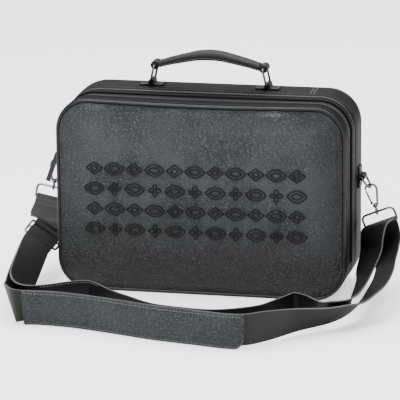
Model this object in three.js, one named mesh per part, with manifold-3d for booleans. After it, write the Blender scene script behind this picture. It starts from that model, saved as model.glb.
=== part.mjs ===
// Zipped bag of leather walls with a padded top handle and a doubled shoulder strap.
// Millimetres. +X right, +Y back, +Z up. The origin is the middle of the flat base.
import * as THREE from "three";
import { mergeVertices } from "three/addons/utils/BufferGeometryUtils.js";
import Module from "manifold-3d";

const wasm = await Module();
wasm.setup();

// Fit between neighbours
const gap = 0.3;

// Bag body
const bagWidth = 370;
const bagHeight = 248;
const bagDepth = 120;
const cornerRadius = 42;
const cornerSteps = 6;
const sideSteps = 4;
const skinWall = 2.5;
const frontStripWidth = 20;
const zipWidth = 20;
const rearStripWidth = 17;
const pipingRadius = 2.4;
const ridgeRadius = 2.2;
const wireSides = 6;
const rodSides = 8;
const barrelSides = 10;
const curlSides = 12;
const cornerCuts = 3;
const frontSag = 3;
const gussetBelly = 1.5;
const cornerDent = 3.5;
const dentTurn = 52;
const dentSpread = 20;
const frontPuff = 6;
const backPuff = 2.5;

// Zip
const zipRecess = 2.2;
const tapeWall = 1.5;
const coilRadius = 2;
const hingeRecess = 0.5;
const sliderHeight = 178;
const sliderLength = 11;
const sliderWidth = 8;
const sliderThick = 2.6;
const bridgeRise = 4;
const bridgeRadius = 1;
const bridgeSteps = 10;
const loopWire = 0.8;
const loopLength = 11;
const loopWidth = 7;
const loopFoot = 1.5;
const loopHead = 2.5;
const pullLength = 38;
const pullWidth = 6;
const pullThick = 2.2;
const pullHoleLift = 0.4;
const pullCurve = 6;
const pullLean = 20;

// Handle
const handleCentre = -5;
const handleHalf = 70;
const gripHalfWidth = 12.5;
const gripCurlRadius = 5.6;
const gripCurlHalf = 10.4;
const gripRise = 26.5;
const gripArch = 14;
const ringWire = 1.5;
const handleRingWidth = 30;
const handleRingFoot = 75;
const ringCorner = 2.5;

// Leather tabs that hold rings
const tabHalfWidth = 10;
const tabLeather = 2;
const tabLift = 1;
const tabCurve = 5;
const tabReach = 15;
const sideTabReach = 13.5;
const sideTabHeight = 141;

// Side hardware
const dRingWidth = 27;
const dRingLength = 20;
const hookLength = 26;
const hookHalfWidth = 7.2;
const hookWire = 1.5;
const hookSteps = 20;
const hookCurve = 4;
const leverWire = 1.2;
const barrelRadius = 3.3;
const barrelLength = 4;
const stemRadius = 1.1;
const knuckleRadius = 1.7;
const knuckleHalf = 2;
const headRadius = 1.8;
const headThick = 1.2;
const eyeRadius = 3.7;
const eyeWire = 1.3;
const eyeSides = 12;
const strapRingWidth = 46;
const strapRingHeight = 20;
const strapRingFoot = 1.7;
const strapRingCrown = 6;

// Strap
const strapWidth = 39;
const strapThick = 2.5;
const padThick = 4;
const padWidth = 42.4;
const padCorner = 12;
const padFrom = 1.03;
const padTo = 0.53;
const padStand = 0.7;
const loopReach = 280;
const glideWidth = 50;
const glideHeight = 27;
const glideCorner = 3;
const glideForward = 41;
const glideDrop = 37;
const glideTilt = 31;
const glideToward = [-0.02, -0.88, -0.46];
const leftRingToward = [0, -0.74, -0.67];
const bandSteps = 2;

const leather = { color: 0x4b4d4f, roughness: 0.62, metalness: 0 };
const edging = { color: 0x3d3e3f, roughness: 0.55, metalness: 0 };
const textile = { color: 0x232323, roughness: 0.85, metalness: 0 };
const gunmetal = { color: 0x55575a, roughness: 0.3, metalness: 1 };
const strapLook = { color: 0x32322f, roughness: 0.6, metalness: 0 };

const xAxis = new THREE.Vector3(1, 0, 0);
const yAxis = new THREE.Vector3(0, 1, 0);
const zAxis = new THREE.Vector3(0, 0, 1);
const halfWidth = bagWidth / 2;
const radians = THREE.MathUtils.degToRad;

// Solid made of rings of points; each ring joins the next, and open ends get a fan
function loft(rings, closed) {
  const size = rings[0].length;
  const points = rings.flat().map((point) => point.clone());
  const faces = [];
  const spans = closed ? rings.length : rings.length - 1;
  for (let i = 0; i < spans; i++) {
    for (let j = 0; j < size; j++) {
      const a = i * size + j;
      const b = i * size + ((j + 1) % size);
      const c = ((i + 1) % rings.length) * size + ((j + 1) % size);
      const d = ((i + 1) % rings.length) * size + j;
      faces.push([a, b, c], [a, c, d]);
    }
  }
  if (!closed) {
    for (const [start, flip] of [[0, true], [(rings.length - 1) * size, false]]) {
      const middle = new THREE.Vector3();
      for (let j = 0; j < size; j++) middle.add(points[start + j]);
      points.push(middle.divideScalar(size));
      for (let j = 0; j < size; j++) {
        const pair = [start + j, start + ((j + 1) % size)];
        faces.push(flip ? [pair[1], pair[0], points.length - 1] : [...pair, points.length - 1]);
      }
    }
  }
  return shapeFrom(points, faces);
}

// Indexed geometry whose faces point outwards
function shapeFrom(points, faces) {
  let volume = 0;
  for (const [a, b, c] of faces) volume += points[a].dot(points[b].clone().cross(points[c]));
  const order = volume < 0 ? faces.map(([a, b, c]) => [a, c, b]) : faces;
  const geometry = new THREE.BufferGeometry();
  const numbers = points.flatMap((point) => point.toArray());
  geometry.setAttribute("position", new THREE.Float32BufferAttribute(numbers, 3));
  geometry.setIndex(order.flat());
  return geometry;
}

function toManifold(geometry) {
  const bare = geometry.clone();
  bare.deleteAttribute("normal");
  bare.deleteAttribute("uv");
  const merged = mergeVertices(bare, 1e-4);
  return new wasm.Manifold(new wasm.Mesh({
    numProp: 3,
    vertProperties: new Float32Array(merged.attributes.position.array),
    triVerts: new Uint32Array(merged.index.array),
  }));
}

function fromManifold(solid) {
  const mesh = solid.getMesh();
  const geometry = new THREE.BufferGeometry();
  geometry.setAttribute("position", new THREE.Float32BufferAttribute(mesh.vertProperties, 3));
  geometry.setIndex(Array.from(mesh.triVerts));
  return geometry;
}

const join = (first, ...others) =>
  fromManifold(others.reduce((solid, next) => solid.add(toManifold(next)), toManifold(first)));
const cut = (first, ...others) =>
  fromManifold(others.reduce((solid, next) => solid.subtract(toManifold(next)), toManifold(first)));

// Round rod between two points
function rod(from, to, radius, sides) {
  const axis = to.clone().sub(from);
  const geometry = new THREE.CylinderGeometry(radius, radius, axis.length(), sides);
  geometry.applyQuaternion(new THREE.Quaternion().setFromUnitVectors(yAxis, axis.clone().normalize()));
  return geometry.translate(...from.clone().addScaledVector(axis, 0.5).toArray());
}

// Round wire that closes on itself, through points in the plane of two unit directions
function closedWire(centre, across, along, outline, radius) {
  const facing = across.clone().cross(along).normalize();
  const rings = outline.map((spot, i) => {
    const before = outline[(i + outline.length - 1) % outline.length];
    const after = outline[(i + 1) % outline.length];
    const course = new THREE.Vector2(after.x - before.x, after.y - before.y).normalize();
    const out = across.clone().multiplyScalar(course.y).addScaledVector(along, -course.x);
    const middle = centre.clone().addScaledVector(across, spot.x).addScaledVector(along, spot.y);
    return ringAround(middle, out, facing, radius, wireSides);
  });
  return loft(rings, true);
}

function ringAround(middle, first, second, radius, sides) {
  const ring = [];
  for (let k = 0; k < sides; k++) {
    const turn = (2 * Math.PI * k) / sides;
    ring.push(middle.clone()
      .addScaledVector(first, radius * Math.cos(turn))
      .addScaledVector(second, radius * Math.sin(turn)));
  }
  return ring;
}

// Centre line of a rectangular ring with rounded corners; y runs from 0 at one bar to its height
function ringOutline(width, height, footCorner, headCorner, steps) {
  const spots = [];
  const corners = [[1, 1, 0], [-1, 1, 90], [-1, 0, 180], [1, 0, 270]];
  for (const [side, level, from] of corners) {
    const corner = level ? headCorner : footCorner;
    for (let k = 0; k <= steps; k++) {
      const turn = radians(from + (90 * k) / steps);
      const y = level ? height - corner : corner;
      spots.push(new THREE.Vector2(
        side * (width / 2 - corner) + corner * Math.cos(turn), y + corner * Math.sin(turn)));
    }
  }
  return spots;
}

// Bag outline seen from the front: corners in steps, sides with a few stations, outward normals
function bagOutline() {
  const stations = [];
  const reach = halfWidth - cornerRadius;
  const rise = bagHeight / 2 - cornerRadius;
  const corners = [[1, -1, -90], [1, 1, 0], [-1, 1, 90], [-1, -1, 180]];
  corners.forEach(([sx, sz, from], index) => {
    const arc = [];
    for (let k = 0; k <= cornerSteps; k++) {
      const turn = radians(from + (90 * k) / cornerSteps);
      arc.push({
        x: sx * reach + cornerRadius * Math.cos(turn),
        z: bagHeight / 2 + sz * rise + cornerRadius * Math.sin(turn),
        nx: Math.cos(turn), nz: Math.sin(turn), turn: from + (90 * k) / cornerSteps,
      });
    }
    stations.push(...arc);
    const end = arc[cornerSteps];
    const [nextX, nextZ, nextFrom] = corners[(index + 1) % corners.length];
    const goal = {
      x: nextX * reach + cornerRadius * Math.cos(radians(nextFrom)),
      z: bagHeight / 2 + nextZ * rise + cornerRadius * Math.sin(radians(nextFrom)),
    };
    for (let k = 1; k < sideSteps; k++) {
      stations.push({
        ...end,
        x: THREE.MathUtils.lerp(end.x, goal.x, k / sideSteps),
        z: THREE.MathUtils.lerp(end.z, goal.z, k / sideSteps),
      });
    }
  });
  return stations;
}

const outline = bagOutline();
const frontY = -bagDepth / 2;
const pipingY = frontY + pipingRadius;
const stripY = frontY + 2 * pipingRadius + gap;
const zipY = stripY + frontStripWidth;
const rearStripY = zipY + zipWidth;
const ridgeY = rearStripY + rearStripWidth + gap + ridgeRadius;
const gussetY = ridgeY + ridgeRadius + gap;
const gussetEndY = -frontY - 2 * pipingRadius - gap;

// Point of the bag's skin at a station, a depth and an inset, with the sag, belly and corner dent
function skin(station, y, inset) {
  const frontShare = THREE.MathUtils.clamp((gussetY - y) / (gussetY - frontY), 0, 1);
  const across = station.x / halfWidth;
  const sag = frontSag * frontShare * Math.max(0, station.nz) * (1 - across * across) ** 2;
  const share = THREE.MathUtils.clamp((y - gussetY) / (gussetEndY - gussetY), 0, 1);
  const plateau = Math.min(1, 6 * share * (1 - share));
  const upper = station.nz < 0 ? 1 + station.nz : 1;
  const off = (station.turn - dentTurn) / dentSpread;
  const dent = cornerDent * Math.exp(-off * off) * Math.sin(Math.PI * share);
  const out = gussetBelly * plateau * upper - dent - inset;
  return new THREE.Vector3(station.x + station.nx * out, y, station.z + station.nz * out - sag);
}

// Band of the bag's wall between two depths; its section is two skins joined at the edges
function wallBand(stations, fromY, toY, outer, inner, depthShares, closed) {
  const rings = stations.map((station) => {
    const depths = depthShares.map((share) => THREE.MathUtils.lerp(fromY, toY, share));
    return [
      ...depths.map((y) => skin(station, y, outer)),
      ...depths.reverse().map((y) => skin(station, y, inner)),
    ];
  });
  return loft(rings, closed);
}

// Round cord sewn round the bag at one depth, just inside its outline
function pipingTube(stations, y, radius, inset, closed) {
  const rings = stations.map((station) => {
    const out = new THREE.Vector3(station.nx, 0, station.nz);
    return ringAround(skin(station, y, inset), out, yAxis, radius, wireSides);
  });
  return loft(rings, closed);
}

// Puffed panel: rings shrink from the rim to the middle, and puff is a share of the full swell
function puffedPanel(rimInset, faceY, swell, table) {
  const middle = new THREE.Vector3(0, 0, bagHeight / 2);
  const ringAt = (row, level) => outline.map((station) => {
    const rim = skin(station, faceY, rimInset);
    return new THREE.Vector3(
      rim.x * row.size, faceY + swell * row.puff + level,
      middle.z + (rim.z - middle.z) * row.size);
  });
  const wallStep = -Math.sign(swell) * skinWall;
  const faceRings = table.map((row) => ringAt(row, 0));
  const rearRings = table.map((row) => ringAt(row, wallStep)).reverse();
  return loft([...rearRings, ...faceRings], false);
}

const edgeShares = [0, 1];
const gussetShares = [0, 0.1, 0.25, 0.5, 0.75, 0.9, 1];
const panelRows = [
  { size: 1, puff: 0 },
  { size: 0.97, puff: 0.12 },
  { size: 0.93, puff: 0.62 },
  { size: 0.82, puff: 0.86 },
  { size: 0.6, puff: 0.97 },
  { size: 0.25, puff: 1 },
];
const backRows = [
  { size: 1, puff: 0 },
  { size: 0.93, puff: 0.6 },
  { size: 0.6, puff: 1 },
  { size: 0.2, puff: 1 },
];

// The zip runs from the foot of the right side over the top to the foot of the left side
const zipStations = outline.slice(cornerSteps, outline.length - cornerSteps - sideSteps + 1);
const hingeStations = [
  ...outline.slice(outline.length - cornerSteps - sideSteps),
  ...outline.slice(0, cornerSteps + 1),
].map((station, i, list) => {
  const last = i === 0 || i === list.length - 1;
  return last ? { ...station, z: station.z - gap } : station;
});
const zipTapeWidth = zipWidth / 2 - coilRadius - 2 * gap;
const panelInset = 2 * pipingRadius + gap;
const coilInset = zipRecess + tapeWall / 2;
const coilY = zipY + zipWidth / 2;

const solids = [];
const add = (name, geometry, look) => solids.push({ name, geometry, look });

add("front_panel", puffedPanel(panelInset, frontY + gap, -frontPuff, panelRows), leather);
add("front_piping", pipingTube(outline, pipingY, pipingRadius, pipingRadius, true), edging);
add("front_zip_strip", wallBand(outline, stripY, zipY, 0, skinWall, edgeShares, true), leather);
add("zip_tape_front",
  wallBand(zipStations, zipY + gap, zipY + gap + zipTapeWidth,
    zipRecess, zipRecess + tapeWall, edgeShares, false), textile);
add("zip_coil", pipingTube(zipStations, coilY, coilRadius, coilInset, false), textile);
add("zip_tape_rear",
  wallBand(zipStations, rearStripY - gap - zipTapeWidth, rearStripY - gap,
    zipRecess, zipRecess + tapeWall, edgeShares, false), textile);
add("zip_hinge",
  wallBand(hingeStations, zipY + gap, rearStripY - gap, hingeRecess, skinWall, edgeShares, false), leather);
add("rear_zip_strip",
  wallBand(outline, rearStripY, rearStripY + rearStripWidth, 0, skinWall, edgeShares, true), leather);
add("ridge_piping", pipingTube(outline, ridgeY, ridgeRadius, ridgeRadius, true), edging);
add("rear_gusset", wallBand(outline, gussetY, gussetEndY, 0, skinWall, gussetShares, true), leather);
add("back_piping", pipingTube(outline, -pipingY, pipingRadius, pipingRadius, true), edging);
add("back_panel", puffedPanel(panelInset, -frontY - gap, backPuff, backRows), leather);

// Tab of leather folded round a ring's bar: a patch with a loop on it, open for the bar
function ringTab(foot, out, along, reach) {
  const boreRadius = ringWire + gap;
  const loopRadius = boreRadius + tabLeather;
  const profile = new THREE.Shape();
  const lift = tabLift + loopRadius;
  const rim = Math.asin((lift - tabLeather) / loopRadius);
  profile.moveTo(-reach, 0);
  profile.lineTo(reach, 0);
  profile.lineTo(reach, tabLeather);
  profile.lineTo(loopRadius * Math.cos(rim), tabLeather);
  profile.absarc(0, lift, loopRadius, -rim, Math.PI + rim, false);
  profile.lineTo(-reach, tabLeather);
  profile.closePath();
  const hole = new THREE.Path();
  hole.absarc(0, lift, boreRadius, 0, 2 * Math.PI, true);
  profile.holes.push(hole);
  const geometry = new THREE.ExtrudeGeometry(profile, {
    depth: 2 * tabHalfWidth, bevelEnabled: false, curveSegments: tabCurve,
  });
  geometry.translate(0, 0, -tabHalfWidth);
  const facing = along.clone().cross(out);
  geometry.applyMatrix4(new THREE.Matrix4().makeBasis(along, out, facing));
  return {
    geometry: geometry.translate(...foot.toArray()),
    bar: foot.clone().addScaledVector(out, lift),
  };
}

// Handle: two rings in leather tabs carry a padded grip with curled ends
const handleY = (gussetY + gussetEndY) / 2;
const topLevel = bagHeight + gussetBelly + gap;
const gripFoot = topLevel + gripRise;
const gripRows = [
  { along: -0.93, rise: 0.08, thick: 8.6, half: 0.86 },
  { along: -0.78, rise: 0.28, thick: 9, half: 0.92 },
  { along: -0.4, rise: 0.74, thick: 10.6, half: 1 },
  { along: -0.18, rise: 0.95, thick: 11.6, half: 1 },
  { along: 0, rise: 1, thick: 12, half: 1 },
  { along: 0.18, rise: 0.95, thick: 11.6, half: 1 },
  { along: 0.4, rise: 0.74, thick: 10.6, half: 1 },
  { along: 0.78, rise: 0.28, thick: 9, half: 0.92 },
  { along: 0.93, rise: 0.08, thick: 8.6, half: 0.86 },
];
const gripSection = [
  { side: -1, level: -0.38 },
  { side: -0.8, level: -0.5 },
  { side: 0.8, level: -0.5 },
  { side: 1, level: -0.38 },
  { side: 0.97, level: 0 },
  { side: 0.72, level: 0.36 },
  { side: 0.3, level: 0.5 },
  { side: -0.3, level: 0.5 },
  { side: -0.72, level: 0.36 },
  { side: -0.97, level: 0 },
];

function handleGrip() {
  const rings = gripRows.map((row) => gripSection.map((spot) => new THREE.Vector3(
    handleCentre + row.along * handleHalf,
    handleY + spot.side * row.half * gripHalfWidth,
    gripFoot + row.rise * gripArch + spot.level * row.thick)));
  const curls = [];
  const bores = [];
  for (const side of [-1, 1]) {
    const middle = new THREE.Vector3(handleCentre + side * handleHalf, handleY, gripFoot);
    const reachOf = (half) => [
      middle.clone().addScaledVector(yAxis, -half), middle.clone().addScaledVector(yAxis, half)];
    curls.push(rod(...reachOf(gripCurlHalf), gripCurlRadius, curlSides));
    bores.push(rod(...reachOf(gripCurlHalf + 2 * gripCurlRadius), ringWire + gap, barrelSides));
  }
  return cut(join(loft(rings, false), ...curls), ...bores);
}
add("handle_grip", handleGrip(), leather);

for (const [label, side] of [["left", -1], ["right", 1]]) {
  const foot = new THREE.Vector3(handleCentre + side * handleRingFoot, handleY, topLevel);
  const tab = ringTab(foot, zAxis, xAxis, tabReach);
  add(`handle_tab_${label}`, tab.geometry, leather);
  const top = new THREE.Vector3(handleCentre + side * handleHalf, handleY, gripFoot);
  const lean = top.clone().sub(tab.bar);
  const spots = ringOutline(handleRingWidth - 2 * ringWire, lean.length(),
    ringCorner, ringCorner, cornerCuts);
  add(`handle_ring_${label}`, closedWire(tab.bar, yAxis, lean.normalize(), spots, ringWire), gunmetal);
}

// Side hardware: tab, D ring, snap hook with its lever and swivel eye, and the strap's ring
const hangings = [
  { label: "left", side: -1, ringDrop: 0, hookLean: 8, barTilt: 11 },
  { label: "right", side: 1, ringDrop: 56, hookLean: 15, barTilt: 22 },
];
const dRows = [
  { across: 0.94, along: 0 },
  { across: 1, along: 0.06 },
  { across: 0.98, along: 0.3 },
  { across: 0.84, along: 0.6 },
  { across: 0.5, along: 0.88 },
  { across: 0, along: 1 },
];
const hookRows = [
  { across: 0.42, along: -0.05 },
  { across: 0.55, along: 0.12 },
  { across: 0.82, along: 0.45 },
  { across: 1, along: 0.76 },
  { across: 0.8, along: 0.92 },
  { across: 0.35, along: 1 },
  { across: -0.35, along: 1 },
  { across: -0.8, along: 0.92 },
  { across: -1, along: 0.8 },
];

function wireAlong(points, radius, steps) {
  const circle = new THREE.Shape();
  circle.absarc(0, 0, radius, 0, 2 * Math.PI, false);
  return new THREE.ExtrudeGeometry(circle, {
    steps, curveSegments: hookCurve, bevelEnabled: false, extrudePath: new THREE.CatmullRomCurve3(points),
  });
}

const hangPlaces = {};
for (const row of hangings) {
  const foot = new THREE.Vector3(row.side * (halfWidth + gussetBelly + gap), handleY, sideTabHeight);
  const out = xAxis.clone().multiplyScalar(row.side);
  const tab = ringTab(foot, out, zAxis, sideTabReach);
  add(`side_tab_${row.label}`, tab.geometry, leather);

  const drop = radians(row.ringDrop);
  const ringWay = out.clone().multiplyScalar(Math.cos(drop)).addScaledVector(zAxis, -Math.sin(drop));
  const half = dRingWidth / 2 - ringWire;
  const reach = dRingLength - 2 * ringWire;
  const dMirror = dRows.slice(0, -1).reverse().map((spot) => ({ ...spot, across: -spot.across }));
  const dSpots = [...dRows, ...dMirror].map((spot) =>
    new THREE.Vector2(spot.across * half, spot.along * reach));
  add(`d_ring_${row.label}`, closedWire(tab.bar, yAxis, ringWay, dSpots, ringWire), gunmetal);

  const lean = radians(row.hookLean);
  const down = new THREE.Vector3(row.side * Math.sin(lean), 0, -Math.cos(lean));
  const up = down.clone().negate();
  const across = new THREE.Vector3(row.side * up.z, 0, -row.side * up.x);
  const crown = tab.bar.clone().addScaledVector(ringWay, reach)
    .addScaledVector(up, ringWire + hookWire + gap);
  const base = crown.clone().addScaledVector(down, hookLength);
  const place = (u, v) => base.clone().addScaledVector(across, u).addScaledVector(up, v);

  const course = hookRows.map((spot) => place(spot.across * hookHalfWidth, spot.along * hookLength));
  const barrel = rod(place(0, -barrelLength), place(0, 0), barrelRadius, barrelSides);
  const bore = rod(place(0, -2 * barrelLength), place(0, barrelLength), stemRadius + gap, rodSides);
  add(`hook_body_${row.label}`, cut(join(wireAlong(course, hookWire, hookSteps), barrel), bore), gunmetal);

  const pivot = place(-barrelRadius - gap, knuckleRadius + gap);
  const tip = hookRows[hookRows.length - 1];
  const nose = place(tip.across * hookHalfWidth, tip.along * hookLength - 3 * gap);
  const lever = rod(pivot, nose, leverWire, rodSides);
  const knuckleEnd = (end) => pivot.clone().addScaledVector(yAxis, end * knuckleHalf);
  const knuckle = rod(knuckleEnd(-1), knuckleEnd(1), knuckleRadius, rodSides);
  add(`hook_lever_${row.label}`, join(lever, knuckle), gunmetal);

  const eyeCentre = place(0, -barrelLength - gap - eyeRadius - eyeWire);
  const eyeSpots = [];
  for (let k = 0; k < eyeSides; k++) {
    const turn = (2 * Math.PI * k) / eyeSides;
    eyeSpots.push(new THREE.Vector2(eyeRadius * Math.cos(turn), eyeRadius * Math.sin(turn)));
  }
  const eye = closedWire(eyeCentre, yAxis, up, eyeSpots, eyeWire);
  const stemFoot = eyeCentre.clone().addScaledVector(up, eyeRadius);
  const stem = rod(stemFoot, place(0, gap + headThick), stemRadius, rodSides);
  const head = rod(place(0, gap), place(0, gap + headThick), headRadius, rodSides);
  add(`hook_swivel_${row.label}`, join(eye, stem, head), gunmetal);

  const tilt = radians(row.barTilt);
  const barWay = new THREE.Vector3(row.side * Math.cos(tilt), 0, Math.sin(tilt));
  const ringDown = new THREE.Vector3(row.side * Math.sin(tilt), 0, -Math.cos(tilt));
  const upperBar = eyeCentre.clone().addScaledVector(down, eyeRadius - eyeWire - gap - ringWire);
  const bar = upperBar.clone().addScaledVector(ringDown, strapRingHeight - 2 * ringWire);
  const spots = ringOutline(strapRingWidth - 2 * ringWire, strapRingHeight - 2 * ringWire,
    strapRingFoot, strapRingCrown, cornerCuts);
  add(`strap_ring_${row.label}`,
    closedWire(bar, barWay, ringDown.clone().negate(), spots, ringWire), gunmetal);
  hangPlaces[row.label] = { bar, barWay, ringDown };
}

// A frame of directions on the strap: across to its upper edge, on along it, and lift to its inner face
function strapFrame(centre, across, toward) {
  const way = toward.clone().addScaledVector(across, -toward.dot(across)).normalize();
  return { centre, across, way, lift: across.clone().cross(way).normalize() };
}

function spotIn(frame, along, lift) {
  return {
    centre: frame.centre.clone().addScaledVector(frame.way, along).addScaledVector(frame.lift, lift),
    across: frame.across, wide: 1,
  };
}

// Tri-glide below the left ring
const leftRing = hangPlaces.left;
const rightRing = hangPlaces.right;
const glideTurn = radians(glideTilt);
const glideAcross = new THREE.Vector3(-Math.cos(glideTurn), 0, Math.sin(glideTurn));
const glideCentre = leftRing.bar.clone().add(new THREE.Vector3(0, -glideForward, -glideDrop));
const glideFrame = strapFrame(glideCentre, glideAcross, new THREE.Vector3(...glideToward));
const glideBarPitch = glideHeight / 2 - ringWire;
const glideSpots = ringOutline(glideWidth - 2 * ringWire, 2 * glideBarPitch,
  glideCorner, glideCorner, cornerCuts);
const glideFoot = glideCentre.clone().addScaledVector(glideFrame.way, -glideBarPitch);
const glideSide = glideAcross.clone().multiplyScalar(glideWidth / 2 - ringWire);
const glideBar = rod(
  glideCentre.clone().sub(glideSide), glideCentre.clone().add(glideSide), ringWire, wireSides);
add("strap_glide", join(
  closedWire(glideFoot, glideAcross, glideFrame.way, glideSpots, ringWire), glideBar), gunmetal);

// Strap sections: centre in shares of half the bag's width, the loop's reach and the strap's width,
// turn and stand of the direction to the upper edge in degrees, and width as a share
function floorSpot({ across, forward, up, turn, stand, wide = 1 }) {
  const t = radians(turn);
  const s = radians(stand);
  return {
    centre: new THREE.Vector3(across * halfWidth, -forward * loopReach, up * strapWidth),
    across: new THREE.Vector3(Math.cos(s) * Math.cos(t), Math.cos(s) * Math.sin(t), Math.sin(s)),
    wide,
  };
}

const frontRows = [
  { across: -1.21, forward: 0.24, up: 0.8, turn: 187, stand: 36 },
  { across: -1.19, forward: 0.39, up: 0.64, turn: 195, stand: 40 },
  { across: -1.15, forward: 0.58, up: 0.58, turn: 200, stand: 50 },
  { across: -1.11, forward: 0.755, up: 0.58, turn: 130, stand: 50, wide: 1.35 },
  { across: -1.055, forward: 0.795, up: 0.6, turn: 140, stand: 74, wide: 1.03 },
  { across: -0.965, forward: 0.79, up: 0.6, turn: 270, stand: 89 },
  { across: -0.855, forward: 0.787, up: 0.6, turn: 270, stand: 90 },
  { across: -0.675, forward: 0.8, up: 0.6, turn: 270, stand: 90 },
  { across: -0.325, forward: 0.864, up: 0.6, turn: 270, stand: 90 },
  { across: -0.1, forward: 0.911, up: 0.6, turn: 270, stand: 90 },
  { across: 0.216, forward: 0.954, up: 0.6, turn: 270, stand: 90 },
  { across: 0.44, forward: 0.982, up: 0.6, turn: 270, stand: 90 },
  { across: 0.54, forward: 0.972, up: 0.6, turn: 270, stand: 90 },
  { across: 0.655, forward: 0.904, up: 0.6, turn: 266, stand: 82 },
  { across: 0.827, forward: 0.779, up: 0.585, turn: 266, stand: 58 },
  { across: 1.02, forward: 0.69, up: 0.6, turn: 268, stand: 41 },
  { across: 1.124, forward: 0.616, up: 0.66, turn: 280, stand: 31 },
  { across: 1.195, forward: 0.571, up: 0.8, turn: 284, stand: 15 },
  { across: 1.238, forward: 0.468, up: 0.95, turn: 291, stand: 5 },
  { across: 1.26, forward: 0.343, up: 1.01, turn: 303, stand: 5 },
  { across: 1.257, forward: 0.182, up: 1.1, turn: 314, stand: 9 },
  { across: 1.232, forward: 0.057, up: 1.18, turn: 323, stand: 12 },
];
// Sections that hang from the right ring, as shares of the strap's width from its bar
const farHanging = [
  { out: 0.22, back: -0.47, rise: -0.75, turn: 338, stand: 17 },
  { out: 0.17, back: 0, rise: -0.52, turn: 354, stand: 22 },
];
const nearHanging = [
  { out: -0.06, back: -0.25, rise: 0.08, turn: 352, stand: 21 },
  { out: -0.17, back: -0.46, rise: 0, turn: 338, stand: 20 },
  { out: -0.2, back: -0.74, rise: -0.3, turn: 327, stand: 13 },
  { out: -0.2, back: -0.92, rise: -0.66, turn: 322, stand: 10 },
];
const backRowsOfStrap = [
  { across: 1.11, forward: 0.157, up: 0.92, turn: 309, stand: 9 },
  { across: 1.127, forward: 0.325, up: 0.87, turn: 295, stand: 8 },
  { across: 1.12, forward: 0.4875, up: 0.8, turn: 284, stand: 15 },
  { across: 1.103, forward: 0.602, up: 0.77, turn: 273, stand: 32 },
  { across: 1.04, forward: 0.66, up: 0.73, turn: 268, stand: 45 },
  { across: 0.965, forward: 0.65, up: 0.56, turn: 268, stand: 60 },
  { across: 0.838, forward: 0.596, up: 0.54, turn: 268, stand: 78 },
  { across: 0.751, forward: 0.579, up: 0.53, turn: 270, stand: 90 },
  { across: 0.703, forward: 0.639, up: 0.53, turn: 270, stand: 90 },
  { across: 0.649, forward: 0.714, up: 0.53, turn: 270, stand: 90 },
  { across: 0.568, forward: 0.804, up: 0.53, turn: 270, stand: 90 },
  { across: 0.319, forward: 0.895, up: 0.53, turn: 270, stand: 90 },
  { across: 0.097, forward: 0.889, up: 0.53, turn: 270, stand: 90 },
  { across: -0.124, forward: 0.85, up: 0.53, turn: 270, stand: 90 },
  { across: -0.3, forward: 0.765, up: 0.53, turn: 270, stand: 90 },
  { across: -0.46, forward: 0.68, up: 0.53, turn: 270, stand: 90 },
  { across: -0.589, forward: 0.589, up: 0.53, turn: 270, stand: 90 },
  { across: -0.665, forward: 0.556, up: 0.53, turn: 270, stand: 90 },
  { across: -0.784, forward: 0.589, up: 0.53, turn: 270, stand: 90 },
  { across: -0.892, forward: 0.646, up: 0.53, turn: 270, stand: 90 },
  { across: -0.978, forward: 0.672, up: 0.53, turn: 215, stand: 86 },
  { across: -1.038, forward: 0.66, up: 0.54, turn: 209, stand: 74 },
  { across: -1.09, forward: 0.618, up: 0.59, turn: 206, stand: 62 },
  { across: -1.14, forward: 0.525, up: 0.7, turn: 203, stand: 51 },
  { across: -1.168, forward: 0.393, up: 0.78, turn: 195, stand: 41 },
  { across: -1.19, forward: 0.239, up: 0.96, turn: 187, stand: 36 },
];

// Band through a list of spots: smooth edge curves, sampled between the spots, and a flat section
function bandStations(spots, steps) {
  const edgeSpot = (spot, side) =>
    spot.centre.clone().addScaledVector(spot.across, (side * strapWidth * spot.wide) / 2);
  const edges = [1, -1].map((side) => new THREE.CatmullRomCurve3(
    spots.map((spot) => edgeSpot(spot, side)), false, "centripetal"));
  const stations = [];
  const last = (spots.length - 1) * steps;
  for (let i = 0; i <= last; i++) {
    stations.push({ upper: edges[0].getPoint(i / last), lower: edges[1].getPoint(i / last) });
  }
  stations.forEach((station, i) => {
    const before = stations[Math.max(0, i - 1)];
    const after = stations[Math.min(last, i + 1)];
    station.centre = station.upper.clone().add(station.lower).multiplyScalar(0.5);
    station.across = station.upper.clone().sub(station.lower).normalize();
    const way = after.upper.clone().add(after.lower).sub(before.upper).sub(before.lower).normalize();
    station.outer = way.cross(station.across).normalize();
  });
  return stations;
}

const bandSections = (stations, thick) => stations.map(({ upper, lower, outer }) => [
  upper.clone().addScaledVector(outer, thick / 2), lower.clone().addScaledVector(outer, thick / 2),
  lower.clone().addScaledVector(outer, -thick / 2), upper.clone().addScaledVector(outer, -thick / 2),
]);
const bandSolid = (stations, thick) => loft(bandSections(stations, thick), false);

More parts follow.
